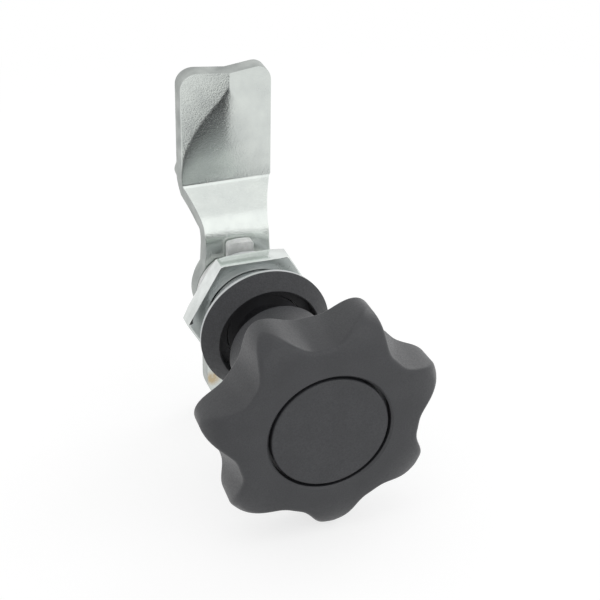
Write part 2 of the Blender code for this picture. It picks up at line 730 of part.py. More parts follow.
def core_pockets():
    """One tapered pocket in the back of each lobe, as one cutter."""
    bm = bmesh.new()
    depth = CORE_DEPTH + CUT
    for i in range(LOBES):
        angle = LOBE_ANGLE + 2 * pi * i / LOBES
        new = bmesh.ops.create_cone(bm, cap_ends=True, segments=16, radius1=1.0, radius2=1.0, depth=depth)["verts"]
        for vertex in new:
            shrink = CORE_DRAFT if vertex.co.z > 0 else 0.0
            along = vertex.co.x * (CORE_LENGTH / 2 - shrink) + CORE_CENTRE
            across = vertex.co.y * (CORE_WIDTH / 2 - shrink)
            up = vertex.co.z + HEAD_BACK - CUT + depth / 2
            vertex.co = (along * cos(angle) - across * sin(angle), along * sin(angle) + across * cos(angle), up)
    mesh = bpy.data.meshes.new("core_pockets")
    bm.to_mesh(mesh)
    bm.free()
    shade(mesh)
    return as_cutter(add_object("core_pockets", mesh, TURNING, CUTTERS))


def build_knob():
    """The moulded knob: a loft from the round neck to the seven lobes, cored at the back."""
    count = LOBES * STEPS_PER_LOBE
    bm = bmesh.new()
    loops = []
    for rule in knob_rings():
        loop = []
        for i in range(count):
            angle = LOBE_ANGLE + 2 * pi * i / count
            radius, height = rule(lobe(angle))
            loop.append(bm.verts.new((radius * cos(angle), radius * sin(angle), height)))
        loops.append(loop)
    for lower, upper in zip(loops, loops[1:]):
        for i in range(count):
            j = (i + 1) % count
            bm.faces.new((lower[i], lower[j], upper[j], upper[i]))
    bm.faces.new(list(reversed(loops[0])))
    bm.faces.new(loops[-1])
    mesh = bpy.data.meshes.new("star_knob")
    bm.to_mesh(mesh)
    bm.free()
    shade(mesh)
    knob = add_object("star_knob", mesh, TURNING)

    boolean(knob, turned("cap_pocket", [
        (0.0, KNOB_FRONT + CUT),
        (POCKET_RADIUS + CAP_POCKET_CHAMFER + CUT, KNOB_FRONT + CUT),
        (POCKET_RADIUS, KNOB_FRONT - CAP_POCKET_CHAMFER),
        (POCKET_RADIUS, CAP_SEAT),
        (CAP_SKIRT_RADIUS + FIT, CAP_SEAT),
        (CAP_SKIRT_RADIUS + FIT, SKIRT_SEAT),
        (KNOB_WASHER_RADIUS + 2 * FIT, SKIRT_SEAT),
        (KNOB_WASHER_RADIUS + 2 * FIT, SCREW_SEAT),
        (SCREW_HOLE, SCREW_SEAT),
        (SCREW_HOLE, INSERT_SEAT - WEB / 2),
        (0.0, INSERT_SEAT - WEB / 2),
    ], TURNING, ROUND, cutter=True))
    boolean(knob, pillar("insert_pocket", polygon(INSERT_FLATS + 2 * FIT, 6), KNOB_STANDOFF - CUT, INSERT_SEAT,
                         TURNING))
    boolean(knob, core_pockets())
    knob.data.materials.append(finish("black_plastic_knob", (0.032, 0.032, 0.034), 0.5, 0.0))
    return knob


def build_knob_fittings():
    """The insert in the neck, the cap in the front, and the screw and washer below the cap."""
    insert = plate("knob_insert", polygon(INSERT_FLATS, 6), INSERT_BACK, INSERT_FRONT, TURNING)
    boolean(insert, pillar("insert_square", rounded_square(SQUARE_HOLE, SQUARE_CORNER), INSERT_BACK - CUT,
                           INSERT_FRONT + CUT, TURNING))
    insert.data.materials.append(finish("brass_insert", (0.66, 0.5, 0.24), 0.35, 1.0))

    cap = turned("knob_cap", [
        (0.0, CAP_FRONT),
        (CAP_RADIUS - CAP_EDGE, CAP_FRONT),
        (CAP_RADIUS, CAP_FRONT - CAP_EDGE),
        (CAP_RADIUS, CAP_BACK),
        (CAP_SKIRT_RADIUS, CAP_BACK),
        (CAP_SKIRT_RADIUS, SKIRT_BACK),
        (CAP_SKIRT_RADIUS - CAP_SKIRT_WALL, SKIRT_BACK),
        (CAP_SKIRT_RADIUS - CAP_SKIRT_WALL, CAP_BACK),
        (0.0, CAP_BACK),
    ], TURNING)
    cap.data.materials.append(finish("black_plastic_cap", (0.03, 0.03, 0.032), 0.5, 0.0))

    washer_back = SCREW_SEAT + FIT
    washer_front = washer_back + KNOB_WASHER_THICKNESS
    washer = turned("knob_washer", [
        (KNOB_WASHER_RADIUS, washer_front),
        (KNOB_WASHER_RADIUS, washer_back),
        (SCREW_HOLE, washer_back),
        (SCREW_HOLE, washer_front),
    ], TURNING, SMALL_ROUND)
    washer.data.materials.append(finish("zinc_plated_knob_washer", (0.62, 0.64, 0.62), 0.35, 1.0))

    tip = SPINDLE_FRONT - TAPPED_DEPTH + CUT / 2
    screw = turned("knob_screw", [
        (0.0, SCREW_HEAD_FRONT),
        (SCREW_HEAD_RADIUS - CAP_EDGE, SCREW_HEAD_FRONT),
        (SCREW_HEAD_RADIUS, SCREW_HEAD_FRONT - CAP_EDGE),
        (SCREW_HEAD_RADIUS, SCREW_HEAD_BACK),
        (THREAD_RADIUS, SCREW_HEAD_BACK),
        (THREAD_RADIUS, tip + CAP_EDGE),
        (THREAD_RADIUS - CAP_EDGE, tip),
        (0.0, tip),
    ], TURNING, SMALL_ROUND)
    boolean(screw, pillar("socket", polygon(SOCKET_FLATS, 6), SCREW_HEAD_FRONT - SOCKET_DEPTH,
                          SCREW_HEAD_FRONT + CUT, TURNING))
    screw.data.materials.append(finish("black_oxide_screw", (0.05, 0.05, 0.055), 0.4, 1.0))
    return insert, cap, washer, screw


build_housing()
build_nut()
build_spindle()
build_stop_disc()
build_arm()
build_arm_fasteners()
build_knob()
build_knob_fittings()
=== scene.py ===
"""Looks of a quarter-turn cam latch: studio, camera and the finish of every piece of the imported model.

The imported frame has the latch's turning axis along Y, the panel's outer face at Y = 0, the knob on the side
of -Y and the cranked arm on the side of +Y, with +Z up. Sizes below are in millimetres and are turned to
metres by MM. Shapes are drawn in the front view of the latch: x to the right, up, and out towards the hand.
"""

import logging
from abc import ABC, abstractmethod
from collections.abc import Callable, Sequence
from dataclasses import dataclass, field
from enum import Enum, IntEnum
from math import asin, atan2, ceil, cos, hypot, pi, radians, sin, sqrt, tan
from typing import Any

import bmesh
import bpy
from mathutils import Matrix, Vector


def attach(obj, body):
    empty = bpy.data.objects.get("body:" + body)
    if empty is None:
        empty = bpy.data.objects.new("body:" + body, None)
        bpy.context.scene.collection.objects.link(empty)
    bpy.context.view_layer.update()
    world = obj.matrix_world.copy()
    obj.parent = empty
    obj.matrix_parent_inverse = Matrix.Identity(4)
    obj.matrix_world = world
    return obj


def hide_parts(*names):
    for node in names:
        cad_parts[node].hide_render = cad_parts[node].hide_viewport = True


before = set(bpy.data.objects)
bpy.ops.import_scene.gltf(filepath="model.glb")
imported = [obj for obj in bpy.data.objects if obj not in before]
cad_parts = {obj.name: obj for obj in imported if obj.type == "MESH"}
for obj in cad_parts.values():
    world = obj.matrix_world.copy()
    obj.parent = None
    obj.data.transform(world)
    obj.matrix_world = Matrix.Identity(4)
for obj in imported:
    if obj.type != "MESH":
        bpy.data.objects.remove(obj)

MM = 0.001
# How far a cutter reaches past the piece that it cuts
OVERCUT = 1.0 * MM
# Points nearer than the first are made one, and edges shorter than the second are taken out
WELD_GAP = 0.002 * MM
SHORTEST_EDGE = 0.001 * MM
# Segments round the cap and its pocket
ROUND_STEPS = 168
LOG = logging.getLogger("cam_latch")

Point = tuple[float, float]


class Body(Enum):
    """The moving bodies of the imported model."""

    PANEL_SIDE = "panel_side"
    TURNING = "turning"


class Cut(Enum):
    """Exact Boolean operations."""

    REMOVE = "DIFFERENCE"
    KEEP_COMMON = "INTERSECT"
    JOIN = "UNION"


class Slot(IntEnum):
    """The material slots of a piece with two finishes."""

    MAIN = 0
    BARE = 1


# Helpers for colour and nodes

def linear(colour: str) -> tuple[float, float, float, float]:
    """Turn an sRGB hex colour to linear light.

    Args:
        colour: six hex digits after a hash sign.

    Returns:
        Red, green, blue and an alpha of 1.
    """
    parts = []
    for i in (1, 3, 5):
        value = int(colour[i:i + 2], 16) / 255
        # The numbers are those of the standard's own curve
        parts.append(value / 12.92 if value <= 0.04045 else ((value + 0.055) / 1.055) ** 2.4)
    return (parts[0], parts[1], parts[2], 1.0)


def add_node(tree: bpy.types.NodeTree, kind: str, inputs: dict[str | int, Any] | None = None,
             **settings: Any) -> bpy.types.Node:
    """Add a node with its settings, and set or link its inputs.

    Args:
        tree: the node tree that gets the node.
        kind: the node's type name.
        inputs: values or output sockets, by the name or number of the input that takes them.
        settings: properties of the node itself.

    Returns:
        The new node.
    """
    node = tree.nodes.new(kind)
    for name, value in settings.items():
        setattr(node, name, value)
    for name, value in (inputs or {}).items():
        if isinstance(value, bpy.types.NodeSocket):
            tree.links.new(value, node.inputs[name])
        else:
            node.inputs[name].default_value = value
    return node


def grey(value: float) -> tuple[float, float, float, float]:
    """A neutral linear colour."""
    return (value, value, value, 1.0)


# Finishes

@dataclass(frozen=True)
class Finish(ABC):
    """The surface of one kind of piece, as a node material."""

    name: str

    def material(self) -> bpy.types.Material:
        """Make the material once and return it afterwards.

        Returns:
            The one material of this finish.
        """
        known = bpy.data.materials.get(self.name)
        if known is not None:
            return known
        made = bpy.data.materials.new(self.name)
        made.use_nodes = True
        tree = made.node_tree
        tree.nodes.clear()
        place = add_node(tree, "ShaderNodeTexCoord").outputs["Object"]
        shader = self.shade(tree, place)
        add_node(tree, "ShaderNodeOutputMaterial", {"Surface": shader.outputs["BSDF"]})
        return made

    @abstractmethod
    def shade(self, tree: bpy.types.NodeTree, place: bpy.types.NodeSocket) -> bpy.types.Node:
        """Lay the nodes of the finish.

        Args:
            tree: the material's node tree.
            place: object coordinates, in metres.

        Returns:
            The shader node.
        """


@dataclass(frozen=True)
class MouldedNylon(Finish):
    """Glass-filled nylon (PA6-GF30), injection moulded in a spark-eroded cavity.

    The erosion leaves an even matt grain of about 0.15 mm. It is drawn at 0.32 mm, the finest that shows at
    this distance. Glass fibres at the skin and slow cooling give a faint mottling some millimetres across.
    """

    colour: str = "#2f3033"
    mottled: str = "#38393c"
    grain: float = 0.32 * MM
    grain_depth: float = 0.02 * MM
    mottle: float = 6.0 * MM
    roughness_low: float = 0.34
    roughness_high: float = 0.48
    tone_from: float = 0.12
    tone_to: float = 0.40
    gloss_from: float = 0.3
    gloss_to: float = 0.7
    ior: float = 1.53

    def shade(self, tree: bpy.types.NodeTree, place: bpy.types.NodeSocket) -> bpy.types.Node:
        """Mottled colour, uneven gloss and an eroded grain.

        Args:
            tree: the material's node tree.
            place: object coordinates, in metres.

        Returns:
            The shader node.
        """
        cloud = add_node(tree, "ShaderNodeTexNoise",
                         {"Vector": place, "Scale": 1 / self.mottle, "Detail": 3.0})
        speck = add_node(tree, "ShaderNodeTexNoise",
                         {"Vector": place, "Scale": 1 / self.grain, "Detail": 2.0})
        both = add_node(tree, "ShaderNodeMath", {0: cloud.outputs["Fac"], 1: speck.outputs["Fac"]},
                        operation="MULTIPLY")
        tone = add_node(tree, "ShaderNodeMapRange",
                        {"Value": both.outputs[0], "From Min": self.tone_from, "From Max": self.tone_to})
        colour = add_node(tree, "ShaderNodeMix", {"Factor": tone.outputs[0], "A": linear(self.colour),
                                                  "B": linear(self.mottled)}, data_type="RGBA")
        gloss = add_node(tree, "ShaderNodeMapRange", {
            "Value": speck.outputs["Fac"], "From Min": self.gloss_from, "From Max": self.gloss_to,
            "To Min": self.roughness_high, "To Max": self.roughness_low})
        bump = add_node(tree, "ShaderNodeBump",
                        {"Height": speck.outputs["Fac"], "Distance": self.grain_depth, "Strength": 1.0})
        return add_node(tree, "ShaderNodeBsdfPrincipled", {
            "Base Color": colour.outputs["Result"], "Roughness": gloss.outputs[0], "IOR": self.ior,
            "Normal": bump.outputs[0]})


@dataclass(frozen=True)
class PowderCoat(Finish):
    """Black polyester powder on the die-cast collar.

    The powder flows out to a soft orange peel about 1 mm across under a fine sandy grain, so the cone looks
    a little livelier than the knob's plastic.
    """

    colour: str = "#292a2c"
    light: str = "#35363a"
    peel: float = 1.1 * MM
    peel_depth: float = 0.03 * MM
    grain: float = 0.35 * MM
    grain_depth: float = 0.03 * MM
    roughness_low: float = 0.46
    roughness_high: float = 0.58
    tone_from: float = 0.35
    tone_to: float = 0.68
    gloss_from: float = 0.3
    gloss_to: float = 0.7
    ior: float = 1.5

    def shade(self, tree: bpy.types.NodeTree, place: bpy.types.NodeSocket) -> bpy.types.Node:
        """Orange peel and sandy grain over a near-black colour.

        Args:
            tree: the material's node tree.
            place: object coordinates, in metres.

        Returns:
            The shader node.
        """
        peel = add_node(tree, "ShaderNodeTexNoise",
                        {"Vector": place, "Scale": 1 / self.peel, "Detail": 1.0})
        grain = add_node(tree, "ShaderNodeTexNoise",
                         {"Vector": place, "Scale": 1 / self.grain, "Detail": 2.0})
        tone = add_node(tree, "ShaderNodeMapRange", {
            "Value": grain.outputs["Fac"], "From Min": self.tone_from, "From Max": self.tone_to})
        colour = add_node(tree, "ShaderNodeMix", {"Factor": tone.outputs[0], "A": linear(self.colour),
                                                  "B": linear(self.light)}, data_type="RGBA")
        gloss = add_node(tree, "ShaderNodeMapRange", {
            "Value": peel.outputs["Fac"], "From Min": self.gloss_from, "From Max": self.gloss_to,
            "To Min": self.roughness_low, "To Max": self.roughness_high})
        broad = add_node(tree, "ShaderNodeBump",
                         {"Height": peel.outputs["Fac"], "Distance": self.peel_depth})
        fine = add_node(tree, "ShaderNodeBump", {
            "Height": grain.outputs["Fac"], "Distance": self.grain_depth, "Normal": broad.outputs[0]})
        return add_node(tree, "ShaderNodeBsdfPrincipled", {
            "Base Color": colour.outputs["Result"], "Roughness": gloss.outputs[0], "IOR": self.ior,
            "Normal": fine.outputs[0]})


@dataclass(frozen=True)
class ZincPlate(Finish):
    """Electro-plated zinc with a clear passivation, over rolled or turned steel.

    The plating follows the mill surface: a satin grey-white with a slight green cast, cloudy patches a few
    millimetres across, and a crystalline speckle of about 0.1 mm that is drawn at 0.36 mm so that it shows.
    The other metal pieces use the same nodes with their own colours and gloss.
    """

    colour: str = "#d3d8d4"
    clouded: str = "#cacfcc"
    roughness_low: float = 0.19
    roughness_high: float = 0.28
    speckle: float = 0.36 * MM
    speckle_depth: float = 0.03 * MM
    cloud: float = 5.0 * MM
    metallic: float = 1.0
    patch_from: float = 0.35
    patch_to: float = 0.65
    gloss_from: float = 0.7
    gloss_to: float = 1.3

    def shade(self, tree: bpy.types.NodeTree, place: bpy.types.NodeSocket) -> bpy.types.Node:
        """Clouded colour, patchy gloss and a fine speckle.

        Args:
            tree: the material's node tree.
            place: object coordinates, in metres.

        Returns:
            The shader node.
        """
        cloud = add_node(tree, "ShaderNodeTexNoise",
                         {"Vector": place, "Scale": 1 / self.cloud, "Detail": 4.0})
        speck = add_node(tree, "ShaderNodeTexNoise",
                         {"Vector": place, "Scale": 1 / self.speckle, "Detail": 3.0})
        patch = add_node(tree, "ShaderNodeMapRange", {
            "Value": cloud.outputs["Fac"], "From Min": self.patch_from, "From Max": self.patch_to})
        colour = add_node(tree, "ShaderNodeMix", {"Factor": patch.outputs[0], "A": linear(self.colour),
                                                  "B": linear(self.clouded)}, data_type="RGBA")
        both = add_node(tree, "ShaderNodeMath", {0: cloud.outputs["Fac"], 1: speck.outputs["Fac"]})
        gloss = add_node(tree, "ShaderNodeMapRange", {
            "Value": both.outputs[0], "From Min": self.gloss_from, "From Max": self.gloss_to,
            "To Min": self.roughness_low, "To Max": self.roughness_high})
        bump = add_node(tree, "ShaderNodeBump",
                        {"Height": speck.outputs["Fac"], "Distance": self.speckle_depth})
        return add_node(tree, "ShaderNodeBsdfPrincipled", {
            "Base Color": colour.outputs["Result"], "Metallic": self.metallic,
            "Roughness": gloss.outputs[0], "Normal": bump.outputs[0]})


@dataclass(frozen=True)
class StainedZincPlate(ZincPlate):
    """The arm's zinc plate, with the one faint brown stain that it has on the left edge of its tail.

    Early rust under the clear passivation: a soft spot some 4 mm across, uneven at its edge and full in its
    middle third.
    """

    stain: str = "#bfae90"
    stain_place: tuple[float, float, float] = (-6.2 * MM, 18.6 * MM, -23.3 * MM)
    stain_radius: float = 2.3 * MM
    stain_fade: float = 3.0
    stain_patch: float = 1.2 * MM
    stain_strength: float = 2.0

    def shade(self, tree: bpy.types.NodeTree, place: bpy.types.NodeSocket) -> bpy.types.Node:
        """The plate's nodes, with the stain mixed into the colour.

        Args:
            tree: the material's node tree.
            place: object coordinates, in metres.

        Returns:
            The shader node.
        """
        shader = super().shade(tree, place)
        patch = add_node(tree, "ShaderNodeTexNoise",
                         {"Vector": place, "Scale": 1 / self.stain_patch, "Detail": 2.0})
        away = add_node(tree, "ShaderNodeVectorMath", {0: place, 1: self.stain_place}, operation="DISTANCE")
        near = add_node(tree, "ShaderNodeMapRange", {
            "Value": away.outputs["Value"], "From Min": self.stain_radius,
            "From Max": self.stain_radius / self.stain_fade})
        share = add_node(tree, "ShaderNodeMath", {0: near.outputs[0], 1: patch.outputs["Fac"]},
                         operation="MULTIPLY")
        depth = add_node(tree, "ShaderNodeMath", {0: share.outputs[0], 1: self.stain_strength},
                         operation="MULTIPLY", use_clamp=True)
        plain = shader.inputs["Base Color"].links[0].from_socket
        stained = add_node(tree, "ShaderNodeMix", {"Factor": depth.outputs[0], "A": plain,
                                                   "B": linear(self.stain)}, data_type="RGBA")
        tree.links.new(stained.outputs["Result"], shader.inputs["Base Color"])
        return shader


@dataclass(frozen=True)
class Rubber(Finish):
    """Nitrile rubber, moulded: deep black with a dusty bloom that dulls the highlights."""

    colour: str = "#1a1a1b"
    bloom: str = "#2a2a2b"
    patch: float = 1.5 * MM
    patch_depth: float = 0.02 * MM
    roughness: float = 0.65
    ior: float = 1.52

    def shade(self, tree: bpy.types.NodeTree, place: bpy.types.NodeSocket) -> bpy.types.Node:
        """A dusty bloom over black.

        Args:
            tree: the material's node tree.
            place: object coordinates, in metres.

        Returns:
            The shader node.
        """
        dust = add_node(tree, "ShaderNodeTexNoise",
                        {"Vector": place, "Scale": 1 / self.patch, "Detail": 4.0})
        colour = add_node(tree, "ShaderNodeMix", {"Factor": dust.outputs["Fac"], "A": linear(self.colour),
                                                  "B": linear(self.bloom)}, data_type="RGBA")
        bump = add_node(tree, "ShaderNodeBump",
                        {"Height": dust.outputs["Fac"], "Distance": self.patch_depth})
        return add_node(tree, "ShaderNodeBsdfPrincipled", {
            "Base Color": colour.outputs["Result"], "Roughness": self.roughness, "IOR": self.ior,
            "Normal": bump.outputs[0]})


# The knob's nylon: black with a soft, even sheen along the lobes
KNOB_NYLON = MouldedNylon("moulded_nylon_knob")
# The same nylon with a duller skin, which sets the cap off from the dome round it
CAP_NYLON = MouldedNylon("moulded_nylon_cap", roughness_low=0.44, roughness_high=0.58)
# Baked powder: a matt, slightly uneven black
COLLAR_COAT = PowderCoat("powder_coated_collar")
# The bare casting: smooth and grey, softer in its reflections than plated steel
CAST_ZINC = ZincPlate("die_cast_zinc", colour="#cfd1d1", clouded="#bfc2c3", roughness_low=0.26,
                      roughness_high=0.36, speckle_depth=0.003 * MM, metallic=0.8)
# Plated strip: satin, with blurred images of its surroundings and one stain
ARM_ZINC = StainedZincPlate("zinc_plated_strip_steel")
# The sheared sides of the strip: torn steel under the plate, darker and rougher
EDGE_ZINC = ZincPlate("zinc_plated_sheared_edge", colour="#b4b8b5", clouded="#9a9e9c", roughness_low=0.42,
                      roughness_high=0.58)
# Turned and bright plated: the sharpest reflections of the latch
NUT_ZINC = ZincPlate("zinc_plated_turned_nut", colour="#e2e6e4", clouded="#cfd3d1", roughness_low=0.06,
                     roughness_high=0.13, speckle_depth=0.006 * MM)
# Stamped and tumbled plate with painted light: near white and almost without metal, so that the tongue in the
# shade of knob and collar shows the brightness of a reflection
DISC_ZINC_PAINTED_LIGHT = ZincPlate("zinc_plated_stamped_disc", colour="#f8f9f8", clouded="#d6d8d6", roughness_low=0.3,
                      roughness_high=0.5, metallic=0.1, cloud=2.5 * MM)
# Dark grey metal: nearly as dark as the powder coat, with a dull gleam
SPINDLE_ZINC = ZincPlate("dark_grey_spindle", colour="#3e3f42", clouded="#303134",
                         roughness_low=0.35, roughness_high=0.5, metallic=0.2)
# Barrel-plated screw and flat washers: a little duller than the arm
SCREW_ZINC = ZincPlate("zinc_plated_screw", roughness_low=0.22, roughness_high=0.36)
# Oiled spring steel: darker than zinc, with a soft gleam
SPRING_STEEL = ZincPlate("oiled_spring_steel", colour="#85888b", clouded="#6a6d70", roughness_low=0.3,
                         roughness_high=0.45)
# Black oxide: dark, but still a metal in its highlights
BLACK_OXIDE = ZincPlate("black_oxide_steel", colour="#3c3d40", clouded="#2c2d2f", roughness_low=0.35,
                        roughness_high=0.5)
# Turned brass: warm yellow, lightly tarnished in patches
BRASS = ZincPlate("turned_brass", colour="#d8b56a", clouded="#b8934c", roughness_low=0.25,
                  roughness_high=0.4)
# The O-ring: the deepest black, without a gleam
SEAL_RUBBER = Rubber("nitrile_rubber")


# Helpers for shapes

def place_point(x: float, up: float, out: float) -> Vector:
    """A front-view point, in metres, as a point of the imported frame."""
    return Vector((x, -out, up))


def add_object(name: str, data: bpy.types.ID) -> bpy.types.Object:
    """Make an object of a mesh, lamp or camera and link it to the scene.

    Args:
        name: the object's name.
        data: what it shows.

    Returns:
        The linked object.
    """
    obj = bpy.data.objects.new(name, data)
    bpy.context.scene.collection.objects.link(obj)
    return obj


def new_object(name: str, bm: bmesh.types.BMesh) -> bpy.types.Object:
    """Turn a bmesh in front-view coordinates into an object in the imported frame.

    Args:
        name: the object's name.
        bm: the shape, with x, up and out as its coordinates. It is freed.

    Returns:
        The linked object.
    """
    for vertex in bm.verts:
        vertex.co = place_point(*vertex.co)
    bmesh.ops.recalc_face_normals(bm, faces=bm.faces)
    mesh = bpy.data.meshes.new(name)
    bm.to_mesh(mesh)
    bm.free()
    return add_object(name, mesh)


def apply_modifiers(obj: bpy.types.Object) -> None:
    """Replace an object's mesh by its evaluated one.

    Args:
        obj: the object, with its modifiers still to be applied.
    """
    graph = bpy.context.evaluated_depsgraph_get()
    mesh = bpy.data.meshes.new_from_object(obj.evaluated_get(graph), preserve_all_data_layers=True,
                                           depsgraph=graph)
    obj.modifiers.clear()
    old = obj.data
    obj.data = mesh
    mesh.name = obj.name
    bpy.data.meshes.remove(old)


def cut(obj: bpy.types.Object, tool: bpy.types.Object, how: Cut = Cut.REMOVE) -> None:
    """Cut an object with another, exactly, and remove the other.

    Args:
        obj: the piece that is cut.
        tool: the cutting shape. It is removed afterwards.
        how: what is kept.
    """
    modifier = obj.modifiers.new("cut", "BOOLEAN")
    modifier.operation = how.value
    modifier.solver = "EXACT"
    modifier.object = tool
    apply_modifiers(obj)
    mesh = tool.data
    bpy.data.objects.remove(tool, do_unlink=True)
    bpy.data.meshes.remove(mesh)


def soften(obj: bpy.types.Object, width: float, angle: float, segments: int) -> None:
    """Round the edges of an object that are sharper than an angle.

    Args:
        obj: the piece.
        width: how wide the rounding is, in metres.
        angle: edges flatter than this many degrees stay.
        segments: faces across the rounding.
    """
    bevel = obj.modifiers.new("soften", "BEVEL")
    bevel.width = width
    bevel.segments = segments
    bevel.limit_method = "ANGLE"
    bevel.angle_limit = radians(angle)
    bevel.harden_normals = False
    apply_modifiers(obj)


def shade_rounds(obj: bpy.types.Object, angle: float) -> None:
    """Shade smooth, and keep edges sharper than the angle in degrees."""
    obj.data.shade_smooth()
    obj.data.set_sharp_from_angle(angle=radians(angle))


def dress(obj: bpy.types.Object, *finishes: Finish) -> None:
    """Give an object its materials, one slot each, and keep the slots of its faces.

    Args:
        obj: the piece.
        finishes: the finish of each slot, in order.
    """
    slots = [min(face.material_index, len(finishes) - 1) for face in obj.data.polygons]
    obj.data.materials.clear()
    for finish in finishes:
        obj.data.materials.append(finish.material())
    obj.data.polygons.foreach_set("material_index", slots)


def polar(radius: float, angle: float) -> Point:
    """A point by its distance from the axis and its angle in radians."""
    return radius * cos(angle), radius * sin(angle)


def quarter_turns(steps: int) -> list[float]:
    """The angles, in radians, of even steps from nothing to a quarter turn."""
    return [pi / 2 * i / steps for i in range(steps + 1)]


def ring_points(bm: bmesh.types.BMesh, radius: float, out: float, count: int) -> list[bmesh.types.BMVert]:
    """A ring of vertices about the turning axis."""
    return [bm.verts.new((*polar(radius, 2 * pi * i / count), out)) for i in range(count)]


def bridge(bm: bmesh.types.BMesh, first: Sequence[bmesh.types.BMVert],
           second: Sequence[bmesh.types.BMVert], material: int = Slot.MAIN) -> None:
    """Join two rings of equal length with quads of one material slot.

    Args:
        bm: the mesh that gets the faces.
        first: one ring.
        second: the other, with as many vertices.
        material: the slot.
    """
    count = len(first)
    for i in range(count):
        j = (i + 1) % count
        bm.faces.new((first[i], first[j], second[j], second[i])).material_index = material


def lathe(bm: bmesh.types.BMesh, profile: Sequence[Point], count: int,
          slots: Callable[[int], int] = lambda step: Slot.MAIN) -> None:
    """Turn an open profile of (radius, out) points about the axis. A radius of zero closes it to a point.

    Args:
        bm: the mesh that gets the faces.
        profile: points from one end of the profile to the other.
        count: segments round the axis.
        slots: the material slot of each step of the profile.
    """
    last: list[bmesh.types.BMVert] | None = None
    for step, (radius, out) in enumerate(profile):
        on_axis = radius == 0.0
        ring = [bm.verts.new((0.0, 0.0, out))] if on_axis else ring_points(bm, radius, out, count)
        if last is not None:
            slot = slots(step - 1)
            if len(ring) == 1 or len(last) == 1:
                tip, rim = (ring[0], last) if len(ring) == 1 else (last[0], ring)
                for i in range(count):
                    bm.faces.new((tip, rim[i], rim[(i + 1) % count])).material_index = slot
            else:
                bridge(bm, last, ring, slot)
        last = ring


def prism(name: str, outline: Sequence[Point], back: float, front: float,
          front_outline: Sequence[Point] | None = None) -> bpy.types.Object:
    """A flat outline of (x, up) points with thickness, as an object.

    Args:
        name: the object's name.
        outline: the corners in order.
        back: where it ends away from the hand.
        front: where it ends towards the hand.
        front_outline: the corners at the front, where it tapers.

    Returns:
        The object.
    """
    bm = bmesh.new()
    low = [bm.verts.new((x, up, back)) for x, up in outline]
    high = [bm.verts.new((x, up, front)) for x, up in front_outline or outline]
    bridge(bm, low, high)
    bm.faces.new(low)
    bm.faces.new(high)
    return new_object(name, bm)


def turned_solid(name: str, profile: Sequence[Point], count: int) -> bpy.types.Object:
    """A closed turned shape. Its profile starts and ends on the axis.

    Args:
        name: the object's name.
        profile: (radius, out) points in order.
        count: segments round the axis.

    Returns:
        The object.
    """
    bm = bmesh.new()
    lathe(bm, profile, count)
    return new_object(name, bm)


def arc(radius: float, start: float, end: float, steps: int) -> list[Point]:
    """Points along an arc about the axis, with angles in radians."""
    return [polar(radius, start + (end - start) * i / steps) for i in range(steps + 1)]


def hexagon(across_flats: float) -> list[Point]:
    """The corners of a hexagon by its width across flats."""
    radius = across_flats / 2 / cos(pi / 6)
    return [polar(radius, i * pi / 3) for i in range(6)]


def rounded_square(side: float, corner: float, steps: int = 5) -> list[Point]:
    """A square outline with rounded corners.

    Args:
        side: the width of the square.
        corner: the radius of its corners.
        steps: steps along each corner.

    Returns:
        The outline's points in order.
    """
    half = side / 2 - corner
    points = []
    for quarter in range(4):
        middle = pi / 4 + quarter * pi / 2
        centre = (half * (1 if cos(middle) > 0 else -1), half * (1 if sin(middle) > 0 else -1))
        for i in range(steps + 1):
            x, up = polar(corner, quarter * pi / 2 + i * pi / 2 / steps)
            points.append((centre[0] + x, centre[1] + up))
    return points


def punch_square(obj: bpy.types.Object, side: float, corner: float, back: float, front: float) -> None:
    """Cut a square hole with rounded corners through a plate on the axis.

    Args:
        obj: the plate.
        side: the width of the hole.
        corner: the radius of its corners.
        back: the plate's rear face.
        front: the plate's front face.
    """
    cut(obj, prism("square", rounded_square(side, corner), back - OVERCUT, front + OVERCUT))


@dataclass(frozen=True)
class Thread:
    """A metric fine thread, M22 x 1.5, as a helical surface of real shape.

    The widths of half a crest and half a root are shares of the pitch.
    """

    pitch: float = 1.5 * MM
    crest_radius: float = 11.0 * MM
    root_radius: float = 10.12 * MM
    crest_half: float = 1 / 14
    root_half: float = 1 / 10
    rows_a_turn: int = 12
    count: int = 144

    def height(self, phase: float) -> float:
        """How high the flank is at a phase of the pitch: 1 on the crest, 0 in the root.

        Args:
            phase: the place along the axis, in pitches.

        Returns:
            The height, from 0 to 1.
        """
        away = abs((phase % 1.0) - 0.5)
        flank = 0.5 - self.root_half - self.crest_half
        return min(1.0, max(0.0, (0.5 - self.root_half - away) / flank))

    def sweep(self, bm: bmesh.types.BMesh, front: float, back: float,
              shape: Callable[[float, float], float], material: int = Slot.MAIN) -> None:
        """Lay a helical grid between two planes. Rows that leave them are held on the planes and merge.

        Args:
            bm: the mesh that gets the faces.
            front: where the thread starts, the higher of the two.
            back: where it ends.
            shape: the radius for a place along the axis and the thread's height there.
            material: the material slot.
        """
        rows = ceil((front - back) / self.pitch * self.rows_a_turn) + self.rows_a_turn
        grid = []
        for row in range(rows + 1):
            line = []
            for i in range(self.count + 1):
                share = i / self.count
                drop = (row / self.rows_a_turn - share) * self.pitch
                out = min(front, max(back, front - drop))
                radius = shape(out, self.height(row / self.rows_a_turn))
                line.append(bm.verts.new((*polar(radius, 2 * pi * share), out)))
            grid.append(line)
        for upper, lower in zip(grid, grid[1:]):
            for i in range(self.count):
                bm.faces.new((upper[i], upper[i + 1], lower[i + 1], lower[i])).material_index = material

    @staticmethod
    def weld(bm: bmesh.types.BMesh) -> None:
        """Merge what lies in one place and drop the faces that vanish with it."""
        bmesh.ops.remove_doubles(bm, verts=bm.verts, dist=WELD_GAP)
        bmesh.ops.dissolve_degenerate(bm, edges=bm.edges, dist=SHORTEST_EDGE)


# Sub-assemblies

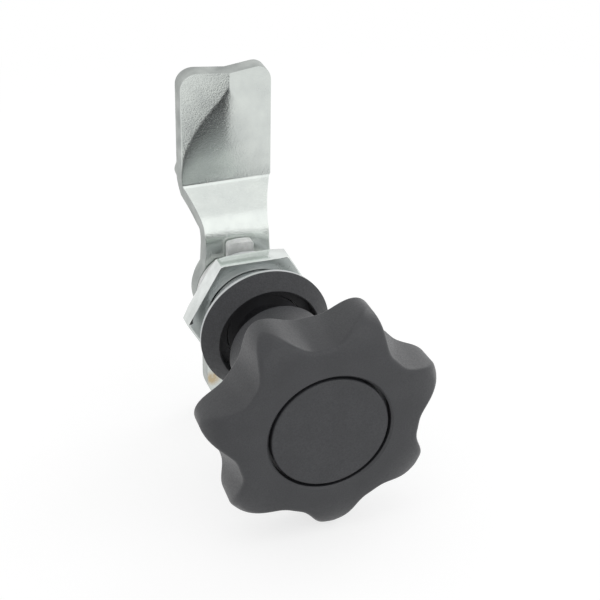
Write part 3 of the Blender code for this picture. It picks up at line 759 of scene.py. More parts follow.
class SubAssembly(ABC):
    """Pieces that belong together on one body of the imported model."""

    body: Body

    @abstractmethod
    def build(self) -> list[bpy.types.Object]:
        """Build or fetch the pieces and dress them.

        Returns:
            The finished pieces.
        """

    def carry(self, obj: bpy.types.Object, node: str) -> bpy.types.Object:
        """Let a new piece stand for a CAD node and ride on its body.

        Args:
            obj: the new piece.
            node: the name of the node.

        Returns:
            The piece.
        """
        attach(obj, self.body.value)
        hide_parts(node)
        return obj

    @staticmethod
    def keep(node: str, finish: Finish) -> bpy.types.Object:
        """Dress a CAD node whose shape is right.

        Args:
            node: the name of the node.
            finish: its finish.

        Returns:
            The node's object.
        """
        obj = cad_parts[node]
        dress(obj, finish)
        return obj


@dataclass
class Housing(SubAssembly):
    """The die casting: black conical collar with its recess, bare rim, and threaded barrel with two flats.

    The lip's middle is given in shares of the lip, the foot of the cone in shares of the collar's edge, and
    stop_inner, where the cutter of the stop recess ends inside the bore, as a share of the bore's radius.
    """

    body = Body.PANEL_SIDE
    thread: Thread = field(default_factory=Thread)
    collar_radius: float = 14.67 * MM
    collar_height: float = 4.2 * MM
    collar_edge: float = 0.3 * MM
    foot_inset: float = 0.3
    foot_top: float = 1.2
    foot_land: float = 0.8
    rim_radius: float = 14.58 * MM
    rim_height: float = 0.9 * MM
    rim_break: float = 0.05 * MM
    recess_radius: float = 11.2 * MM
    recess_base: float = 10.9 * MM
    recess_floor: float = 1.0 * MM
    lip: float = 0.35 * MM
    lip_out: float = 0.35
    lip_drop: float = 0.25
    barrel_length: float = 16.0 * MM
    barrel_chamfer: float = 0.3 * MM
    across_flats: float = 20.0 * MM
    flat_start: float = 0.02 * MM
    bore_radius: float = 6.3 * MM
    seat_radius: float = 8.8 * MM
    seat_depth: float = 2.2 * MM
    stop_radius: float = 9.3 * MM
    stop_depth: float = 2.4 * MM
    stop_from: float = radians(-14.0)
    stop_to: float = radians(104.0)
    stop_inner: float = 0.8
    stop_steps: int = 40
    end_radius: float = 9.95 * MM
    plain_neck: float = 6.3 * MM
    runout: float = 0.6 * MM
    coated_steps: int = 8
    sharp_angle: float = 24.0

    def build(self) -> list[bpy.types.Object]:
        """Build the casting in place of its node.

        Returns:
            The casting.
        """
        casting = self.turn_casting()
        self.cut_flats(casting)
        self.cut_stop(casting)
        self.mark_bare_metal(casting)
        shade_rounds(casting, self.sharp_angle)
        return [self.carry(casting, "housing")]

    def turn_casting(self) -> bpy.types.Object:
        """Turn the plain outline and wind the thread on the barrel.

        Returns:
            The casting before it is milled.
        """
        bm = bmesh.new()
        lathe(bm, [
            (self.seat_radius, -self.seat_depth),
            (self.seat_radius, self.recess_floor),
            (self.recess_base, self.recess_floor),
            (self.recess_radius, self.collar_height - self.lip),
            (self.recess_radius + self.lip * self.lip_out, self.collar_height - self.lip * self.lip_drop),
            (self.recess_radius + self.lip, self.collar_height),
            (self.collar_radius - self.collar_edge * self.foot_inset,
             self.rim_height + self.collar_edge * self.foot_top),
            (self.collar_radius, self.rim_height + self.collar_edge * self.foot_land),
            (self.collar_radius, self.rim_height),
            (self.rim_radius, self.rim_height),
            (self.rim_radius, self.rim_break),
            (self.rim_radius - self.rim_break, 0.0),
            (self.thread.crest_radius, 0.0),
        ], self.thread.count, lambda step: Slot.BARE if step >= self.coated_steps else Slot.MAIN)
        self.thread.sweep(bm, 0.0, -self.barrel_length, self.barrel_radius, Slot.BARE)
        lathe(bm, [
            (self.end_radius, -self.barrel_length),
            (self.bore_radius, -self.barrel_length),
            (self.bore_radius, -self.seat_depth),
            (self.seat_radius, -self.seat_depth),
        ], self.thread.count, lambda step: Slot.BARE)
        self.thread.weld(bm)
        casting = new_object("housing_casting", bm)
        dress(casting, COLLAR_COAT, CAST_ZINC)
        return casting

    def barrel_radius(self, out: float, height: float) -> float:
        """The barrel's radius: a plain neck behind the collar, the thread, and a broken edge at the end.

        Args:
            out: the place along the axis.
            height: the thread's height there, from 0 to 1.

        Returns:
            The radius.
        """
        root, crest = self.thread.root_radius, self.thread.crest_radius
        depth = -out
        if depth >= self.barrel_length:
            return self.end_radius
        cut_in = min(1.0, max(0.0, (depth - self.plain_neck) / self.runout))
        broken = crest - self.barrel_chamfer + max(0.0, self.barrel_length - depth)
        return min(crest - (crest - root) * (1.0 - height) * cut_in, broken)

    def cut_flats(self, casting: bpy.types.Object) -> None:
        """Mill the two flats of the barrel.

        Args:
            casting: the piece that is changed.
        """
        half, reach = self.across_flats / 2, self.collar_radius
        for side in (-1, 1):
            near, far = side * half, side * reach
            outline = [(near, -reach), (far, -reach), (far, reach), (near, reach)]
            cut(casting, prism("flat", outline, -self.barrel_length - OVERCUT, -self.flat_start))

    def cut_stop(self, casting: bpy.types.Object) -> None:
        """Sink the recess in which the stop lug runs.

        Args:
            casting: the piece that is changed.
        """
        sector = arc(self.stop_radius, self.stop_from, self.stop_to, self.stop_steps)
        inner = self.bore_radius * self.stop_inner
        sector += arc(inner, self.stop_to, self.stop_from, self.stop_steps // 2)
        cut(casting, prism("stop", sector, -self.barrel_length - OVERCUT,
                           self.stop_depth - self.barrel_length))

    def mark_bare_metal(self, casting: bpy.types.Object) -> None:
        """Leave the rim and the whole barrel uncoated, with the faces that the cutters made.

        Args:
            casting: the piece that is changed.
        """
        for face in casting.data.polygons:
            x, y, z = face.center
            outside = y > -self.rim_height and hypot(x, z) > self.seat_radius + self.lip
            if outside or y > self.seat_depth + self.lip:
                face.material_index = Slot.BARE


@dataclass
class LockNut(SubAssembly):
    """The thin hexagon nut: turned corners on its back face and a real thread in its bore.

    The crown's land and the front's break are shares of the step from a flat to a corner.
    """

    body = Body.PANEL_SIDE
    thread: Thread = field(default_factory=Thread)
    across_flats: float = 27.0 * MM
    thickness: float = 4.5 * MM
    setback: float = 5.9 * MM
    thread_play: float = 0.12 * MM
    mouth: float = 0.5 * MM
    crown_angle: float = radians(30.0)
    crown_land: float = 0.4
    front_break: float = 0.12
    edge: float = 0.16 * MM
    edge_angle: float = 20.0
    edge_segments: int = 2
    blank_reach: float = 2 * MM
    blank_steps: int = 96
    sharp_angle: float = 28.0

    def build(self) -> list[bpy.types.Object]:
        """Build the nut in place of its node.

        Returns:
            The nut.
        """
        front, back = -self.setback, -self.setback - self.thickness
        nut = prism("lock_nut_turned", hexagon(self.across_flats), back, front)
        cut(nut, self.blank(front, back), Cut.KEEP_COMMON)
        soften(nut, self.edge, self.edge_angle, self.edge_segments)
        cut(nut, self.bore(front, back))
        shade_rounds(nut, self.sharp_angle)
        dress(nut, NUT_ZINC)
        return [self.carry(nut, "lock_nut")]

    def blank(self, front: float, back: float) -> bpy.types.Object:
        """The turned blank that the hexagon is kept within.

        Args:
            front: the nut's front face.
            back: its rear face.

        Returns:
            The blank.
        """
        flat = self.across_flats / 2
        corner = flat / cos(pi / 6)
        land = flat + (corner - flat) * self.crown_land
        slope = tan(self.crown_angle)
        shy = corner - (corner - flat) * self.front_break
        reach = self.blank_reach
        return turned_solid("blank", [
            (0.0, front + reach * slope),
            (shy - reach, front + reach * slope),
            (corner + reach, front - (corner + reach - shy) * slope),
            (corner + reach, back + (corner + reach - land) * slope),
            (land - reach, back - reach * slope),
            (0.0, back - reach * slope),
        ], self.blank_steps)

    def bore(self, front: float, back: float) -> bpy.types.Object:
        """The threaded hole as a plug, a little wider than the barrel's thread.

        Args:
            front: the nut's front face.
            back: its rear face.

        Returns:
            The plug.
        """
        bm = bmesh.new()
        start, end = 0.0, back - OVERCUT
        wide = self.thread.crest_radius + self.thread_play + self.mouth
        depth = self.thread.crest_radius - self.thread.root_radius

        def radius(out: float, height: float) -> float:
            """The plug's radius along the axis.

            Args:
                out: the place along the axis.
                height: the thread's height there, from 0 to 1.

            Returns:
                The radius.
            """
            if out in (start, end):
                return wide
            inside = self.thread.root_radius + depth * height
            within = min(front - out, out - back)
            return max(inside + self.thread_play, wide - max(within, 0.0))

        self.thread.sweep(bm, start, end, radius)
        for out in (start, end):
            bm.faces.new(ring_points(bm, wide, out, self.thread.count))
        self.thread.weld(bm)
        return new_object("bore", bm)


@dataclass
class Spindle(SubAssembly):
    """The shaft from knob to arm, with its seal."""

    body = Body.TURNING

    def build(self) -> list[bpy.types.Object]:
        """Dress the two nodes."""
        return [self.keep("spindle", SPINDLE_ZINC), self.keep("spindle_seal", SEAL_RUBBER)]


@dataclass
class StopDisc(SubAssembly):
    """The stamped disc between barrel and arm: a tongue between two notches, and the lug of the stop."""

    body = Body.TURNING
    front: float = -16.3 * MM
    thickness: float = 2.0 * MM
    radius: float = 9.9 * MM
    tongue_half: float = 3.0 * MM
    tongue_reach: float = 13.0 * MM
    tongue_corner: float = 0.9 * MM
    notch_width: float = 2.6 * MM
    notch_radius: float = 8.4 * MM
    lug_radius: float = 9.0 * MM
    lug_height: float = 2.0 * MM
    lug_depth: float = 2.0 * MM
    lug_half_angle: float = radians(12.0)
    edge_roll: float = 0.55 * MM
    edge_angle: float = 60.0
    edge_segments: int = 5
    square_hole: float = 8.6 * MM
    square_corner: float = 0.5 * MM
    round_steps: int = 96
    small_steps: int = 12
    corner_steps: int = 8
    sharp_angle: float = 40.0

    def build(self) -> list[bpy.types.Object]:
        """Build the disc in place of its node.

        Returns:
            The disc.
        """
        back = self.front - self.thickness
        disc = prism("stop_disc_stamping", self.outline(), back, self.front)
        soften(disc, self.edge_roll, self.edge_angle, self.edge_segments)
        low, high = pi / 2 - self.lug_half_angle, pi / 2 + self.lug_half_angle
        lug = arc(self.lug_radius, low, high, self.small_steps)
        lug += arc(self.lug_radius - self.lug_height, high, low, self.small_steps)
        cut(disc, prism("lug", lug, self.front - self.thickness / 2, self.front + self.lug_depth), Cut.JOIN)
        punch_square(disc, self.square_hole, self.square_corner, back, self.front)
        shade_rounds(disc, self.sharp_angle)
        # Painted light: the disc's near-white colour stands in for the bright reflection on its shaded tongue
        dress(disc, DISC_ZINC_PAINTED_LIGHT)
        return [self.carry(disc, "stop_disc")]

    def outline(self) -> list[Point]:
        """The disc's corners in order, with the tongue at the top.

        Returns:
            The outline's points.
        """
        outer = self.tongue_half + self.notch_width
        notch = asin(outer / self.radius)
        points = arc(self.radius, pi / 2 + notch, 2.5 * pi - notch, self.round_steps)
        points += [(outer, self.notch_radius), (self.tongue_half, self.notch_radius)]
        points += self.tongue_end()
        return points + [(-self.tongue_half, self.notch_radius), (-outer, self.notch_radius)]

    def tongue_end(self) -> list[Point]:
        """The end of the tongue from right to left: an arc about the axis between two rounded corners.

        Returns:
            The outline's points there.
        """
        inset = self.tongue_half - self.tongue_corner
        up = sqrt((self.tongue_reach - self.tongue_corner) ** 2 - inset ** 2)
        lean = atan2(up, inset)
        right = [(inset + x, up + y) for x, y in arc(self.tongue_corner, 0.0, lean, self.corner_steps)]
        left = [(-x, y) for x, y in reversed(right)]
        return right + arc(self.tongue_reach, lean, pi - lean, self.small_steps)[1:-1] + left


@dataclass
class LatchArm(SubAssembly):
    """The cranked stamping: tail, round hub, neck, ramp, and a blade with a pressed ridge.

    The tail's tip is a share of half the neck's width. The facets' sizes without a unit are shares too:
    start_round of the lower facet's length, ridge_round of half the blade's width, and facet_fold and
    facet_droop of the lower facet's rise.
    """

    body = Body.TURNING
    front: float = -18.6 * MM
    thickness: float = 4.0 * MM
    crank: float = 8.25 * MM
    top: float = 50.39 * MM
    tail: float = 30.98 * MM
    blade_width: float = 20.8 * MM
    blade_corner: float = 4.0 * MM
    neck_width: float = 14.9 * MM
    hub_width: float = 19.6 * MM
    lower_bend: float = 15.2 * MM
    upper_bend: float = 23.1 * MM
    lower_bend_radius: float = 9.5 * MM
    upper_bend_radius: float = 1.2 * MM
    ridge_rise: float = 2.8 * MM
    facet_start: float = 24.4 * MM
    facet_apex: float = 46.0 * MM
    start_round: float = 0.05
    facet_fold: float = 0.62
    facet_droop: float = 0.3
    ridge_round: float = 0.18
    edge_roll: float = 0.5 * MM
    edge_angle: float = 60.0
    edge_segments: int = 4
    waist_fillet: float = 0.5 * MM
    taper_start: float = 15.6 * MM
    taper_end: float = 23.6 * MM
    taper_curve: float = 1.5
    swell_up: float = 25.9 * MM
    swell_length: float = 2.0 * MM
    swell: float = 0.5 * MM
    swell_power: int = 5
    square_hole: float = 8.6 * MM
    square_corner: float = 0.5 * MM
    cells: int = 56
    tail_tip: float = 0.02
    tail_steps: int = 16
    shank_steps: int = 8
    hub_steps: int = 24
    lower_bend_steps: int = 12
    ramp_steps: int = 8
    upper_bend_steps: int = 8
    blade_steps: int = 56
    corner_steps: int = 12
    sheared_slope: float = 0.6
    sharp_angle: float = 50.0

    def build(self) -> list[bpy.types.Object]:
        """Build the stamping in place of its node.

        Returns:
            The arm.
        """
        arm = self.bend_sheet()
        self.press_ridge(arm)
        soften(arm, self.edge_roll, self.edge_angle, self.edge_segments)
        punch_square(arm, self.square_hole, self.square_corner, self.front - self.thickness, self.front)
        self.mark_sheared_edge(arm)
        shade_rounds(arm, self.sharp_angle)
        dress(arm, ARM_ZINC, EDGE_ZINC)
        return [self.carry(arm, "latch_arm")]

    def path(self) -> tuple[list[Point], float]:
        """The side view of the front face over both bends, as (up, out), and the blade's place.

        Returns:
            The points, and where the blade's face lies.
        """
        lean = atan2(self.crank, self.upper_bend - self.lower_bend)
        lower_run = self.lower_bend_radius * tan(lean / 2)
        upper_run = self.upper_bend_radius * tan(lean / 2)
        blade = self.front - self.crank
        points = []
        for i in range(self.lower_bend_steps + 1):
            turn = lean * i / self.lower_bend_steps
            points.append((self.lower_bend - lower_run + self.lower_bend_radius * sin(turn),
                           self.front - self.lower_bend_radius * (1 - cos(turn))))
        foot = points[-1]
        head = (self.upper_bend - upper_run * cos(lean), blade + upper_run * sin(lean))
        for i in range(1, self.ramp_steps):
            share = i / self.ramp_steps
            points.append((foot[0] + (head[0] - foot[0]) * share, foot[1] + (head[1] - foot[1]) * share))
        for i in range(self.upper_bend_steps + 1):
            turn = lean * (self.upper_bend_steps - i) / self.upper_bend_steps
            points.append((self.upper_bend + upper_run - self.upper_bend_radius * sin(turn),
                           blade + self.upper_bend_radius * (1 - cos(turn))))
        return points, blade

    def half_width(self, up: float) -> float:
        """Half the arm's width at a height above the axis.

        Args:
            up: the height.

        Returns:
            Half the width.
        """
        neck, blade, hub = self.neck_width / 2, self.blade_width / 2, self.hub_width / 2
        if up < self.taper_start:
            bulge = sqrt(max(hub * hub - up * up, 0.0)) - neck
            return neck + (bulge + sqrt(bulge * bulge + self.waist_fillet ** 2)) / 2
        share = min((up - self.taper_start) / (self.taper_end - self.taper_start), 1.0)
        return neck + (blade - neck) * share ** self.taper_curve

    def rows(self) -> list[tuple[float, float, float]]:
        """Rows across the arm from tail to top, as (up, half width, out).

        Returns:
            The rows in order.
        """
        neck, hub, half = self.neck_width / 2, self.hub_width / 2, self.blade_width / 2
        rows = []
        for turn in quarter_turns(self.tail_steps):
            rows.append((-self.tail + neck * (1 - cos(turn)), max(neck * sin(turn), neck * self.tail_tip),
                         self.front))
        waist = asin(neck / hub)
        low = rows[-1][0]
        for i in range(1, self.shank_steps):
            rows.append((low + (-hub * cos(waist) - low) * i / self.shank_steps, neck, self.front))
        for i in range(self.hub_steps + 1):
            up = hub * sin(-(pi / 2 - waist) + 2 * (pi / 2 - waist) * i / self.hub_steps)
            rows.append((up, self.half_width(up), self.front))
        path, blade = self.path()
        rows += [(up, self.half_width(up), out) for up, out in path]
        straight = self.top - self.blade_corner
        start = path[-1][0]
        for i in range(1, self.blade_steps):
            rows.append((start + (straight - start) * i / self.blade_steps, half, blade))
        for turn in quarter_turns(self.corner_steps):
            rows.append((straight + self.blade_corner * sin(turn),
                         half - self.blade_corner * (1 - cos(turn)), blade))
        return rows

    def bend_sheet(self) -> bpy.types.Object:
        """A bent sheet of the arm's outline, thickened to the back.

        Returns:
            The arm before it is pressed.
        """
        bm = bmesh.new()
        grid = [[bm.verts.new((half * (2 * i / self.cells - 1), up, out)) for i in range(self.cells + 1)]
                for up, half, out in self.rows()]
        for lower, upper in zip(grid, grid[1:]):
            for i in range(self.cells):
                bm.faces.new((lower[i], lower[i + 1], upper[i + 1], upper[i]))
        arm = new_object("arm_stamping", bm)
        if arm.data.polygons[0].normal.y > 0:
            arm.data.flip_normals()
        sheet = arm.modifiers.new("sheet", "SOLIDIFY")
        sheet.thickness = self.thickness
        sheet.offset = -1.0
        sheet.use_even_offset = True
        apply_modifiers(arm)
        return arm

    def ridge(self, x: float, up: float) -> float:
        """How far the blade is raised: two run-on facets, cut off below by one that droops to its sides.

        Args:
            x: the place across the blade.
            up: the place along it.

        Returns:
            The rise.
        """
        along = max(0.0, (up - self.facet_start) / (self.facet_apex - self.facet_start))
        along = sqrt(along * along + self.start_round ** 2) - self.start_round
        side = min(abs(x) / (self.blade_width / 2), 1.0)
        soft = sqrt(side * side + self.ridge_round ** 2) - self.ridge_round
        lower = along * (1.0 - self.facet_fold * soft - self.facet_droop * side ** 4)
        return self.ridge_rise * max(0.0, min(lower, 1.0 - side))

    def press_ridge(self, arm: bpy.types.Object) -> None:
        """Press the facets into the blade and let the squeezed steel swell at its left rear edge.

        Args:
            arm: the stamping.
        """
        for vertex in arm.data.vertices:
            x, up = vertex.co.x, vertex.co.z
            near = max(0.0, 1.0 - ((up - self.swell_up) / self.swell_length) ** 2) ** 2
            deep = min(max((vertex.co.y + self.front - self.crank) / self.thickness, 0.0), 1.0)
            left = (min(x, 0.0) / (self.blade_width / 2)) ** self.swell_power
            vertex.co.x += self.swell * near * deep ** 2 * left
            vertex.co.y -= self.ridge(x, up)

    def mark_sheared_edge(self, arm: bpy.types.Object) -> None:
        """Give the sides of the stamping the second material.

        Args:
            arm: the stamping.
        """
        for face in arm.data.polygons:
            if abs(face.normal.y) < self.sheared_slope:
                face.material_index = Slot.BARE


@dataclass
class ArmFasteners(SubAssembly):
    """The hexagon screw behind the arm and its two washers."""

    body = Body.TURNING

    def build(self) -> list[bpy.types.Object]:
        """Dress the three nodes."""
        return [self.keep("arm_washer", SCREW_ZINC), self.keep("arm_lock_washer", SPRING_STEEL),
                self.keep("arm_screw", SCREW_ZINC)]


@dataclass
class StarKnob(SubAssembly):
    """The moulded knob: a round neck, seven lobes that meet a turned dome in a crease, and rear cores.

    The middle of the neck's rounded chamfer is a share of the chamfer, and the step counts are those of each
    stretch of the moulding from the neck to the front.
    """

    body = Body.TURNING
    back: float = 8.85 * MM
    front: float = 42.25 * MM
    head_back: float = 30.95 * MM
    neck_radius: float = 10.8 * MM
    neck_chamfer: float = 0.5 * MM
    chamfer_middle: float = 0.3
    neck_fillet: float = 3.0 * MM
    lobes: int = 7
    lobe_angle: float = radians(17.2)
    sharpness: float = 1.7
    tip_radius: float = 25.79 * MM
    scallop_radius: float = 19.7 * MM
    tip_radius_at_back: float = 25.5 * MM
    scallop_radius_at_back: float = 21.3 * MM
    back_edge: float = 0.55 * MM
    front_flat: float = 15.9 * MM
    dome_width: float = 10.0 * MM
    dome_drop: float = 5.9 * MM
    crease_in_scallop: float = 0.9 * MM
    crease_at_tip: float = 1.7 * MM
    pocket_radius: float = 13.1 * MM
    pocket_chamfer: float = 0.45 * MM
    cap_seat: float = 39.85 * MM
    skirt_pocket: float = 11.9 * MM
    skirt_seat: float = 35.95 * MM
    well_radius: float = 6.8 * MM
    screw_seat: float = 30.95 * MM
    screw_hole: float = 3.2 * MM
    insert_flats: float = 14.6 * MM
    insert_seat: float = 27.95 * MM
    core_centre: float = 18.6 * MM
    core_length: float = 8.0 * MM
    core_width: float = 7.2 * MM
    core_depth: float = 5.5 * MM
    core_draft: float = 0.4 * MM
    steps: int = 42
    fillet_steps: int = 12
    edge_steps: int = 4
    crease_steps: int = 6
    dome_steps: int = 16
    core_steps: int = 32
    sharp_angle: float = 30.0

    def build(self) -> list[bpy.types.Object]:
        """Build the knob in place of its node.

        Returns:
            The knob.
        """
        knob = self.loft()
        cut(knob, self.pocket())
        cut(knob, prism("insert_pocket", hexagon(self.insert_flats), self.back - OVERCUT, self.insert_seat))
        for i in range(self.lobes):
            cut(knob, self.core(self.lobe_angle + 2 * pi * i / self.lobes))
        shade_rounds(knob, self.sharp_angle)
        dress(knob, KNOB_NYLON)
        return [self.carry(knob, "star_knob")]

    def pocket(self) -> bpy.types.Object:
        """The room for the cap, its skirt and the screw, as a turned cutter.

        Returns:
            The cutter.
        """
        return turned_solid("pocket", [
            (0.0, self.front + OVERCUT),
            (self.pocket_radius + self.pocket_chamfer + OVERCUT, self.front + OVERCUT),
            (self.pocket_radius, self.front - self.pocket_chamfer),
            (self.pocket_radius, self.cap_seat),
            (self.skirt_pocket, self.cap_seat),
            (self.skirt_pocket, self.skirt_seat),
            (self.well_radius, self.skirt_seat),
            (self.well_radius, self.screw_seat),
            (self.screw_hole, self.screw_seat),
            (self.screw_hole, self.insert_seat - OVERCUT),
            (0.0, self.insert_seat - OVERCUT),
        ], ROUND_STEPS)

    def share(self, angle: float) -> float:
        """How much of a lobe is at this angle: 1 at a tip and 0 in the middle of a scallop."""
        return ((1 + cos(self.lobes * (angle - self.lobe_angle))) / 2) ** self.sharpness

    @staticmethod
    def mix(scallop: float, tip: float, share: float) -> float:
        """A size between its value in a scallop and at a tip."""
        return scallop + (tip - scallop) * share

    def dome(self, radius: float) -> float:
        """The height of the domed front at a radius: flat within, then falling towards the tips."""
        share = (radius - self.front_flat) / self.dome_width
        return self.front - self.dome_drop * (1 - sqrt(max(1 - share * share, 0.0)))

    def crease(self, share: float, along: float) -> Point:
        """A point of the rounded edge between the side of the head, at 0, and its domed front, at 1.

        Args:
            share: the share of a lobe.
            along: the place over the edge, from 0 to 1.

        Returns:
            Its (radius, out).
        """
        corner = self.mix(self.scallop_radius, self.tip_radius, share)
        width = self.mix(self.crease_in_scallop, self.crease_at_tip, share)
        inner = corner - width
        ends = ((corner, self.dome(corner) - width), (corner, self.dome(corner)),
                (inner, self.dome(inner)))
        weights = ((1 - along) ** 2, 2 * along * (1 - along), along ** 2)
        return (sum(weight * end[0] for weight, end in zip(weights, ends)),
                sum(weight * end[1] for weight, end in zip(weights, ends)))

    def dome_point(self, share: float, along: float) -> Point:
        """A point of the domed front between the crease, at 0, and the flat middle, at 1.

        Args:
            share: the share of a lobe.
            along: the place towards the middle, from 0 to 1.

        Returns:
            Its (radius, out).
        """
        start = asin(min((self.crease(share, 1.0)[0] - self.front_flat) / self.dome_width, 1.0))
        radius = self.front_flat + self.dome_width * sin(start * (1 - along))
        return radius, self.dome(radius)

    def sections(self) -> list[Callable[[float], Point]]:
        """Radius and place of each ring, from the neck's end to the front, for a share of a lobe.

        Returns:
            One rule for each ring.
        """
        rings: list[Callable[[float], Point]] = [
            lambda share: (self.neck_radius - self.neck_chamfer, self.back),
            lambda share: (self.neck_radius - self.neck_chamfer * self.chamfer_middle,
                           self.back + self.neck_chamfer * self.chamfer_middle),
            lambda share: (self.neck_radius, self.back + self.neck_chamfer),
        ]
        for turn in quarter_turns(self.fillet_steps):
            rings.append(lambda share, turn=turn: (self.neck_radius + self.neck_fillet * (1 - cos(turn)),
                                                   self.head_back - self.neck_fillet * (1 - sin(turn))))
        for turn in quarter_turns(self.edge_steps):
            rings.append(lambda share, turn=turn: (
                self.mix(self.scallop_radius_at_back, self.tip_radius_at_back, share)
                - self.back_edge * (1 - sin(turn)),
                self.head_back + self.back_edge * (1 - cos(turn))))
        for i in range(self.crease_steps + 1):
            rings.append(lambda share, i=i: self.crease(share, i / self.crease_steps))
        for i in range(1, self.dome_steps + 1):
            rings.append(lambda share, i=i: self.dome_point(share, i / self.dome_steps))
        return rings

    def loft(self) -> bpy.types.Object:
        """Join the sections from neck to front.

        Returns:
            The knob before it is cored.
        """
        count = self.lobes * self.steps
        bm = bmesh.new()
        loops = []
        for rule in self.sections():
            loop = []
            for i in range(count):
                angle = self.lobe_angle + 2 * pi * i / count
                radius, out = rule(self.share(angle))
                loop.append(bm.verts.new((*polar(radius, angle), out)))
            loops.append(loop)
        for first, second in zip(loops, loops[1:]):
            bridge(bm, first, second)
        bm.faces.new(loops[0])
        bm.faces.new(loops[-1])
        return new_object("knob_moulding", bm)

    def core(self, angle: float) -> bpy.types.Object:
        """One tapered core in the back of a lobe.

        Args:
            angle: the direction of the lobe.

        Returns:
            The cutter.
        """
        mouth, bottom = [], []
        for i in range(self.core_steps):
            turn = 2 * pi * i / self.core_steps
            for outline, shrink in ((mouth, 0.0), (bottom, self.core_draft)):
                along = self.core_centre + (self.core_length / 2 - shrink) * cos(turn)
                across = (self.core_width / 2 - shrink) * sin(turn)
                outline.append((along * cos(angle) - across * sin(angle),
                                along * sin(angle) + across * cos(angle)))
        return prism("core", mouth, self.head_back - OVERCUT, self.head_back + self.core_depth, bottom)


@dataclass
class KnobFittings(SubAssembly):
    """The cap in the knob's front, and the insert, screw and washer inside it."""

    body = Body.TURNING
    cap_front: float = 42.05 * MM
    cap_back: float = 40.15 * MM
    cap_radius: float = 12.5 * MM
    cap_edge: float = 0.5 * MM
    skirt_back: float = 37.45 * MM
    skirt_radius: float = 11.6 * MM
    skirt_wall: float = 1.2 * MM
    rim_steps: int = 8
    sharp_angle: float = 40.0

    def build(self) -> list[bpy.types.Object]:
        """Build the cap in place of its node, and dress the other three."""
        return [self.carry(self.turn_cap(), "knob_cap"), self.keep("knob_insert", BRASS),
                self.keep("knob_washer", SCREW_ZINC), self.keep("knob_screw", BLACK_OXIDE)]

    def turn_cap(self) -> bpy.types.Object:
        """The cap with its rounded rim and its skirt.

        Returns:
            The cap.
        """
        rim = [(self.cap_radius - self.cap_edge * (1 - sin(turn)),
                self.cap_front - self.cap_edge * (1 - cos(turn))) for turn in quarter_turns(self.rim_steps)]
        inside = self.skirt_radius - self.skirt_wall
        cap = turned_solid("knob_cap_moulding", [
            (0.0, self.cap_front),
            *rim,
            (self.cap_radius, self.cap_back),
            (self.skirt_radius, self.cap_back),
            (self.skirt_radius, self.skirt_back),
            (inside, self.skirt_back),
            (inside, self.cap_back),
            (0.0, self.cap_back),
        ], ROUND_STEPS)
        shade_rounds(cap, self.sharp_angle)
        dress(cap, CAP_NYLON)
        return cap


# Studio and camera

@dataclass(frozen=True)
class PhotoCamera:
    """The camera at the photograph's viewpoint, for a square picture of 600 by 600."""

    azimuth: float = radians(-20.05)
    elevation: float = radians(30.71)
    roll: float = radians(1.02)
    distance: float = 388.36 * MM
    right_shift: float = 7.58 * MM
    up_shift: float = 6.65 * MM
    anchor: tuple[float, float, float] = (0.0, -0.98 * MM, 0.0)
    lens: float = 106.645
    sensor: float = 36.0
    near_clip: float = 0.01

    def build(self) -> bpy.types.Object:
        """Make the camera and hand it to the scene.

        Returns:
            The camera.
        """
        around, rise = self.azimuth, self.elevation
        forward = Vector((-sin(around) * cos(rise), cos(around) * cos(rise), -sin(rise)))
        level = Vector((cos(around), sin(around), 0.0))
        upright = level.cross(forward)
        right = level * cos(self.roll) + upright * sin(self.roll)
        up = upright * cos(self.roll) - level * sin(self.roll)
        place = (Vector(self.anchor) + right * self.right_shift + up * self.up_shift
                 - forward * self.distance)
        data = bpy.data.cameras.new("photo_camera")
        data.lens = self.lens
        data.sensor_width = self.sensor
        data.clip_start = self.near_clip
        camera = add_object("photo_camera", data)
        turn = Matrix((right, up, -forward)).transposed().to_4x4()
        camera.matrix_world = Matrix.Translation(place) @ turn
        bpy.context.scene.camera = camera
        return camera


@dataclass(frozen=True)
class Softbox:
    """One square studio lamp that looks at the latch."""

    name: str
    azimuth: float
    elevation: float
    distance: float
    size: float
    power: float

    def build(self) -> bpy.types.Object:
        """Hang the lamp and aim it at the axis.

        Returns:
            The lamp.
        """
        around, rise = radians(self.azimuth), radians(self.elevation)
        place = Vector((sin(around) * cos(rise), -cos(around) * cos(rise), sin(rise))) * self.distance
        data = bpy.data.lights.new(self.name, "AREA")
        data.shape = "SQUARE"
        data.size = self.size
        data.energy = self.power
        lamp = add_object(self.name, data)
        lamp.location = place
        lamp.rotation_mode = "QUATERNION"
        lamp.rotation_quaternion = (-place).to_track_quat("-Z", "Y")
        return lamp


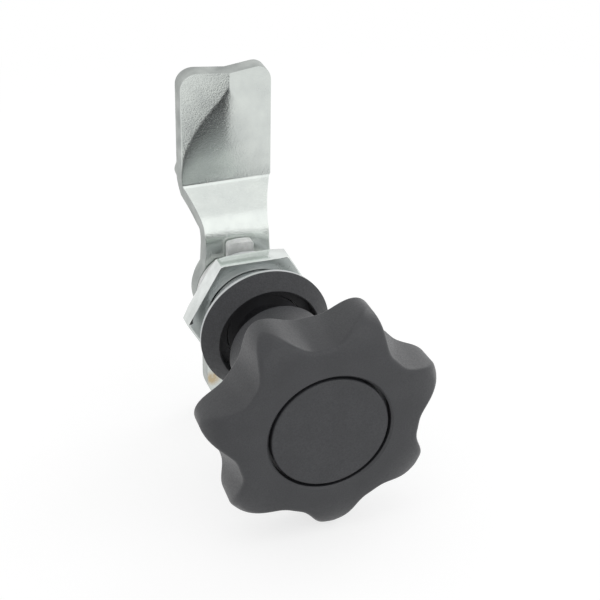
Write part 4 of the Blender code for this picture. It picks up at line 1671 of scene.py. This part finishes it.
@dataclass(frozen=True)
class Studio:
    """A pale floor that carries the latch on a lobe and on the arm's tail, a white surround and lamps."""

    front_contact: Point = (-33.0 * MM, -25.85 * MM)
    rear_contact: Point = (18.7 * MM, -30.95 * MM)
    floor_half: float = 3.0
    floor_colour: str = "#f4f4f4"
    floor_glow: float = 0.72
    floor_shadow: float = 0.4
    fade_from: float = 0.12
    fade_to: float = 0.30
    surround_light: float = 0.6
    lamps: tuple[Softbox, ...] = (
        Softbox("front_softbox", 20.0, 22.0, 0.9, 1.3, 2.1),
        Softbox("right_softbox", 120.0, 30.0, 0.9, 0.45, 1.0),
        Softbox("overhead_softbox", 0.0, 85.0, 0.9, 0.45, 0.4),
    )

    def build(self) -> None:
        """Lay the floor, light the surround and hang the lamps."""
        self.lay_floor()
        self.light_surround()
        for lamp in self.lamps:
            lamp.build()
        bpy.context.scene.view_settings.view_transform = "Standard"

    def lay_floor(self) -> None:
        """A plane through both contact points."""
        (y1, z1), (y2, z2) = self.front_contact, self.rear_contact
        slope = (z2 - z1) / (y2 - y1)
        bm = bmesh.new()
        corners = [(-1, -1), (1, -1), (1, 1), (-1, 1)]
        bm.faces.new([bm.verts.new((x * self.floor_half, y * self.floor_half,
                                    z1 + (y * self.floor_half - y1) * slope)) for x, y in corners])
        mesh = bpy.data.meshes.new("floor")
        bm.to_mesh(mesh)
        bm.free()
        floor = add_object("floor", mesh)
        floor.data.materials.append(self.floor_material())

    def floor_material(self) -> bpy.types.Material:
        """Matt white paper that runs out to the surround's white further off.

        The camera and mirror-like metal see it near the latch as paper that the studio overexposes: most of
        its light is its own, and the rest keeps the latch's shadow.

        Returns:
            The floor's material.
        """
        material = bpy.data.materials.new("white_paper_floor")
        material.use_nodes = True
        tree = material.node_tree
        tree.nodes.clear()
        place = add_node(tree, "ShaderNodeTexCoord").outputs["Object"]
        away = add_node(tree, "ShaderNodeVectorMath", {0: place}, operation="LENGTH")
        fade = add_node(tree, "ShaderNodeMapRange", {
            "Value": away.outputs["Value"], "From Min": self.fade_from, "From Max": self.fade_to})
        paper = add_node(tree, "ShaderNodeBsdfDiffuse", {"Color": linear(self.floor_colour)})
        shaded = add_node(tree, "ShaderNodeBsdfDiffuse", {"Color": grey(self.floor_shadow)})
        bright = add_node(tree, "ShaderNodeEmission", {"Color": grey(1.0), "Strength": self.floor_glow})
        exposed = add_node(tree, "ShaderNodeAddShader", {0: shaded.outputs[0], 1: bright.outputs[0]})
        near = add_node(tree, "ShaderNodeMixShader", {0: self.shown_rays(tree), 1: paper.outputs[0],
                                                      2: exposed.outputs[0]})
        far = add_node(tree, "ShaderNodeEmission", {"Color": grey(1.0), "Strength": 1.0})
        sheet = add_node(tree, "ShaderNodeMixShader", {0: fade.outputs[0], 1: near.outputs[0],
                                                       2: far.outputs[0]})
        add_node(tree, "ShaderNodeOutputMaterial", {"Surface": sheet.outputs[0]})
        return material

    @staticmethod
    def shown_rays(tree: bpy.types.NodeTree) -> bpy.types.NodeSocket:
        """One for rays of the camera, of reflections and of clear pieces, and zero for the rest.

        Args:
            tree: the node tree that asks.

        Returns:
            The socket that tells.
        """
        ray = add_node(tree, "ShaderNodeLightPath")
        seen = add_node(tree, "ShaderNodeMath", {0: ray.outputs["Is Camera Ray"],
                                                 1: ray.outputs["Is Glossy Ray"]}, operation="MAXIMUM")
        return add_node(tree, "ShaderNodeMath", {0: seen.outputs[0], 1: ray.outputs["Is Transmission Ray"]},
                        operation="MAXIMUM").outputs[0]

    def light_surround(self) -> None:
        """A world that lights evenly and is white to the camera and in reflections."""
        world = bpy.data.worlds.new("white_surround")
        bpy.context.scene.world = world
        world.use_nodes = True
        tree = world.node_tree
        tree.nodes.clear()
        strength = add_node(tree, "ShaderNodeMapRange", {"Value": self.shown_rays(tree),
                                                         "To Min": self.surround_light, "To Max": 1.0})
        sky = add_node(tree, "ShaderNodeBackground", {"Color": grey(1.0), "Strength": strength.outputs[0]})
        add_node(tree, "ShaderNodeOutputWorld", {"Surface": sky.outputs[0]})


def main() -> None:
    """Build the studio and every sub-assembly, and report each piece."""
    logging.basicConfig(level=logging.INFO, format="%(name)s: %(message)s")
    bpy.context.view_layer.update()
    PhotoCamera().build()
    Studio().build()
    for assembly in (Housing(), LockNut(), Spindle(), StopDisc(), LatchArm(), ArmFasteners(), StarKnob(),
                     KnobFittings()):
        for piece in assembly.build():
            LOG.info("%s: %s, %d faces", type(assembly).__name__, piece.name, len(piece.data.polygons))


if __name__ == "__main__":
    main()
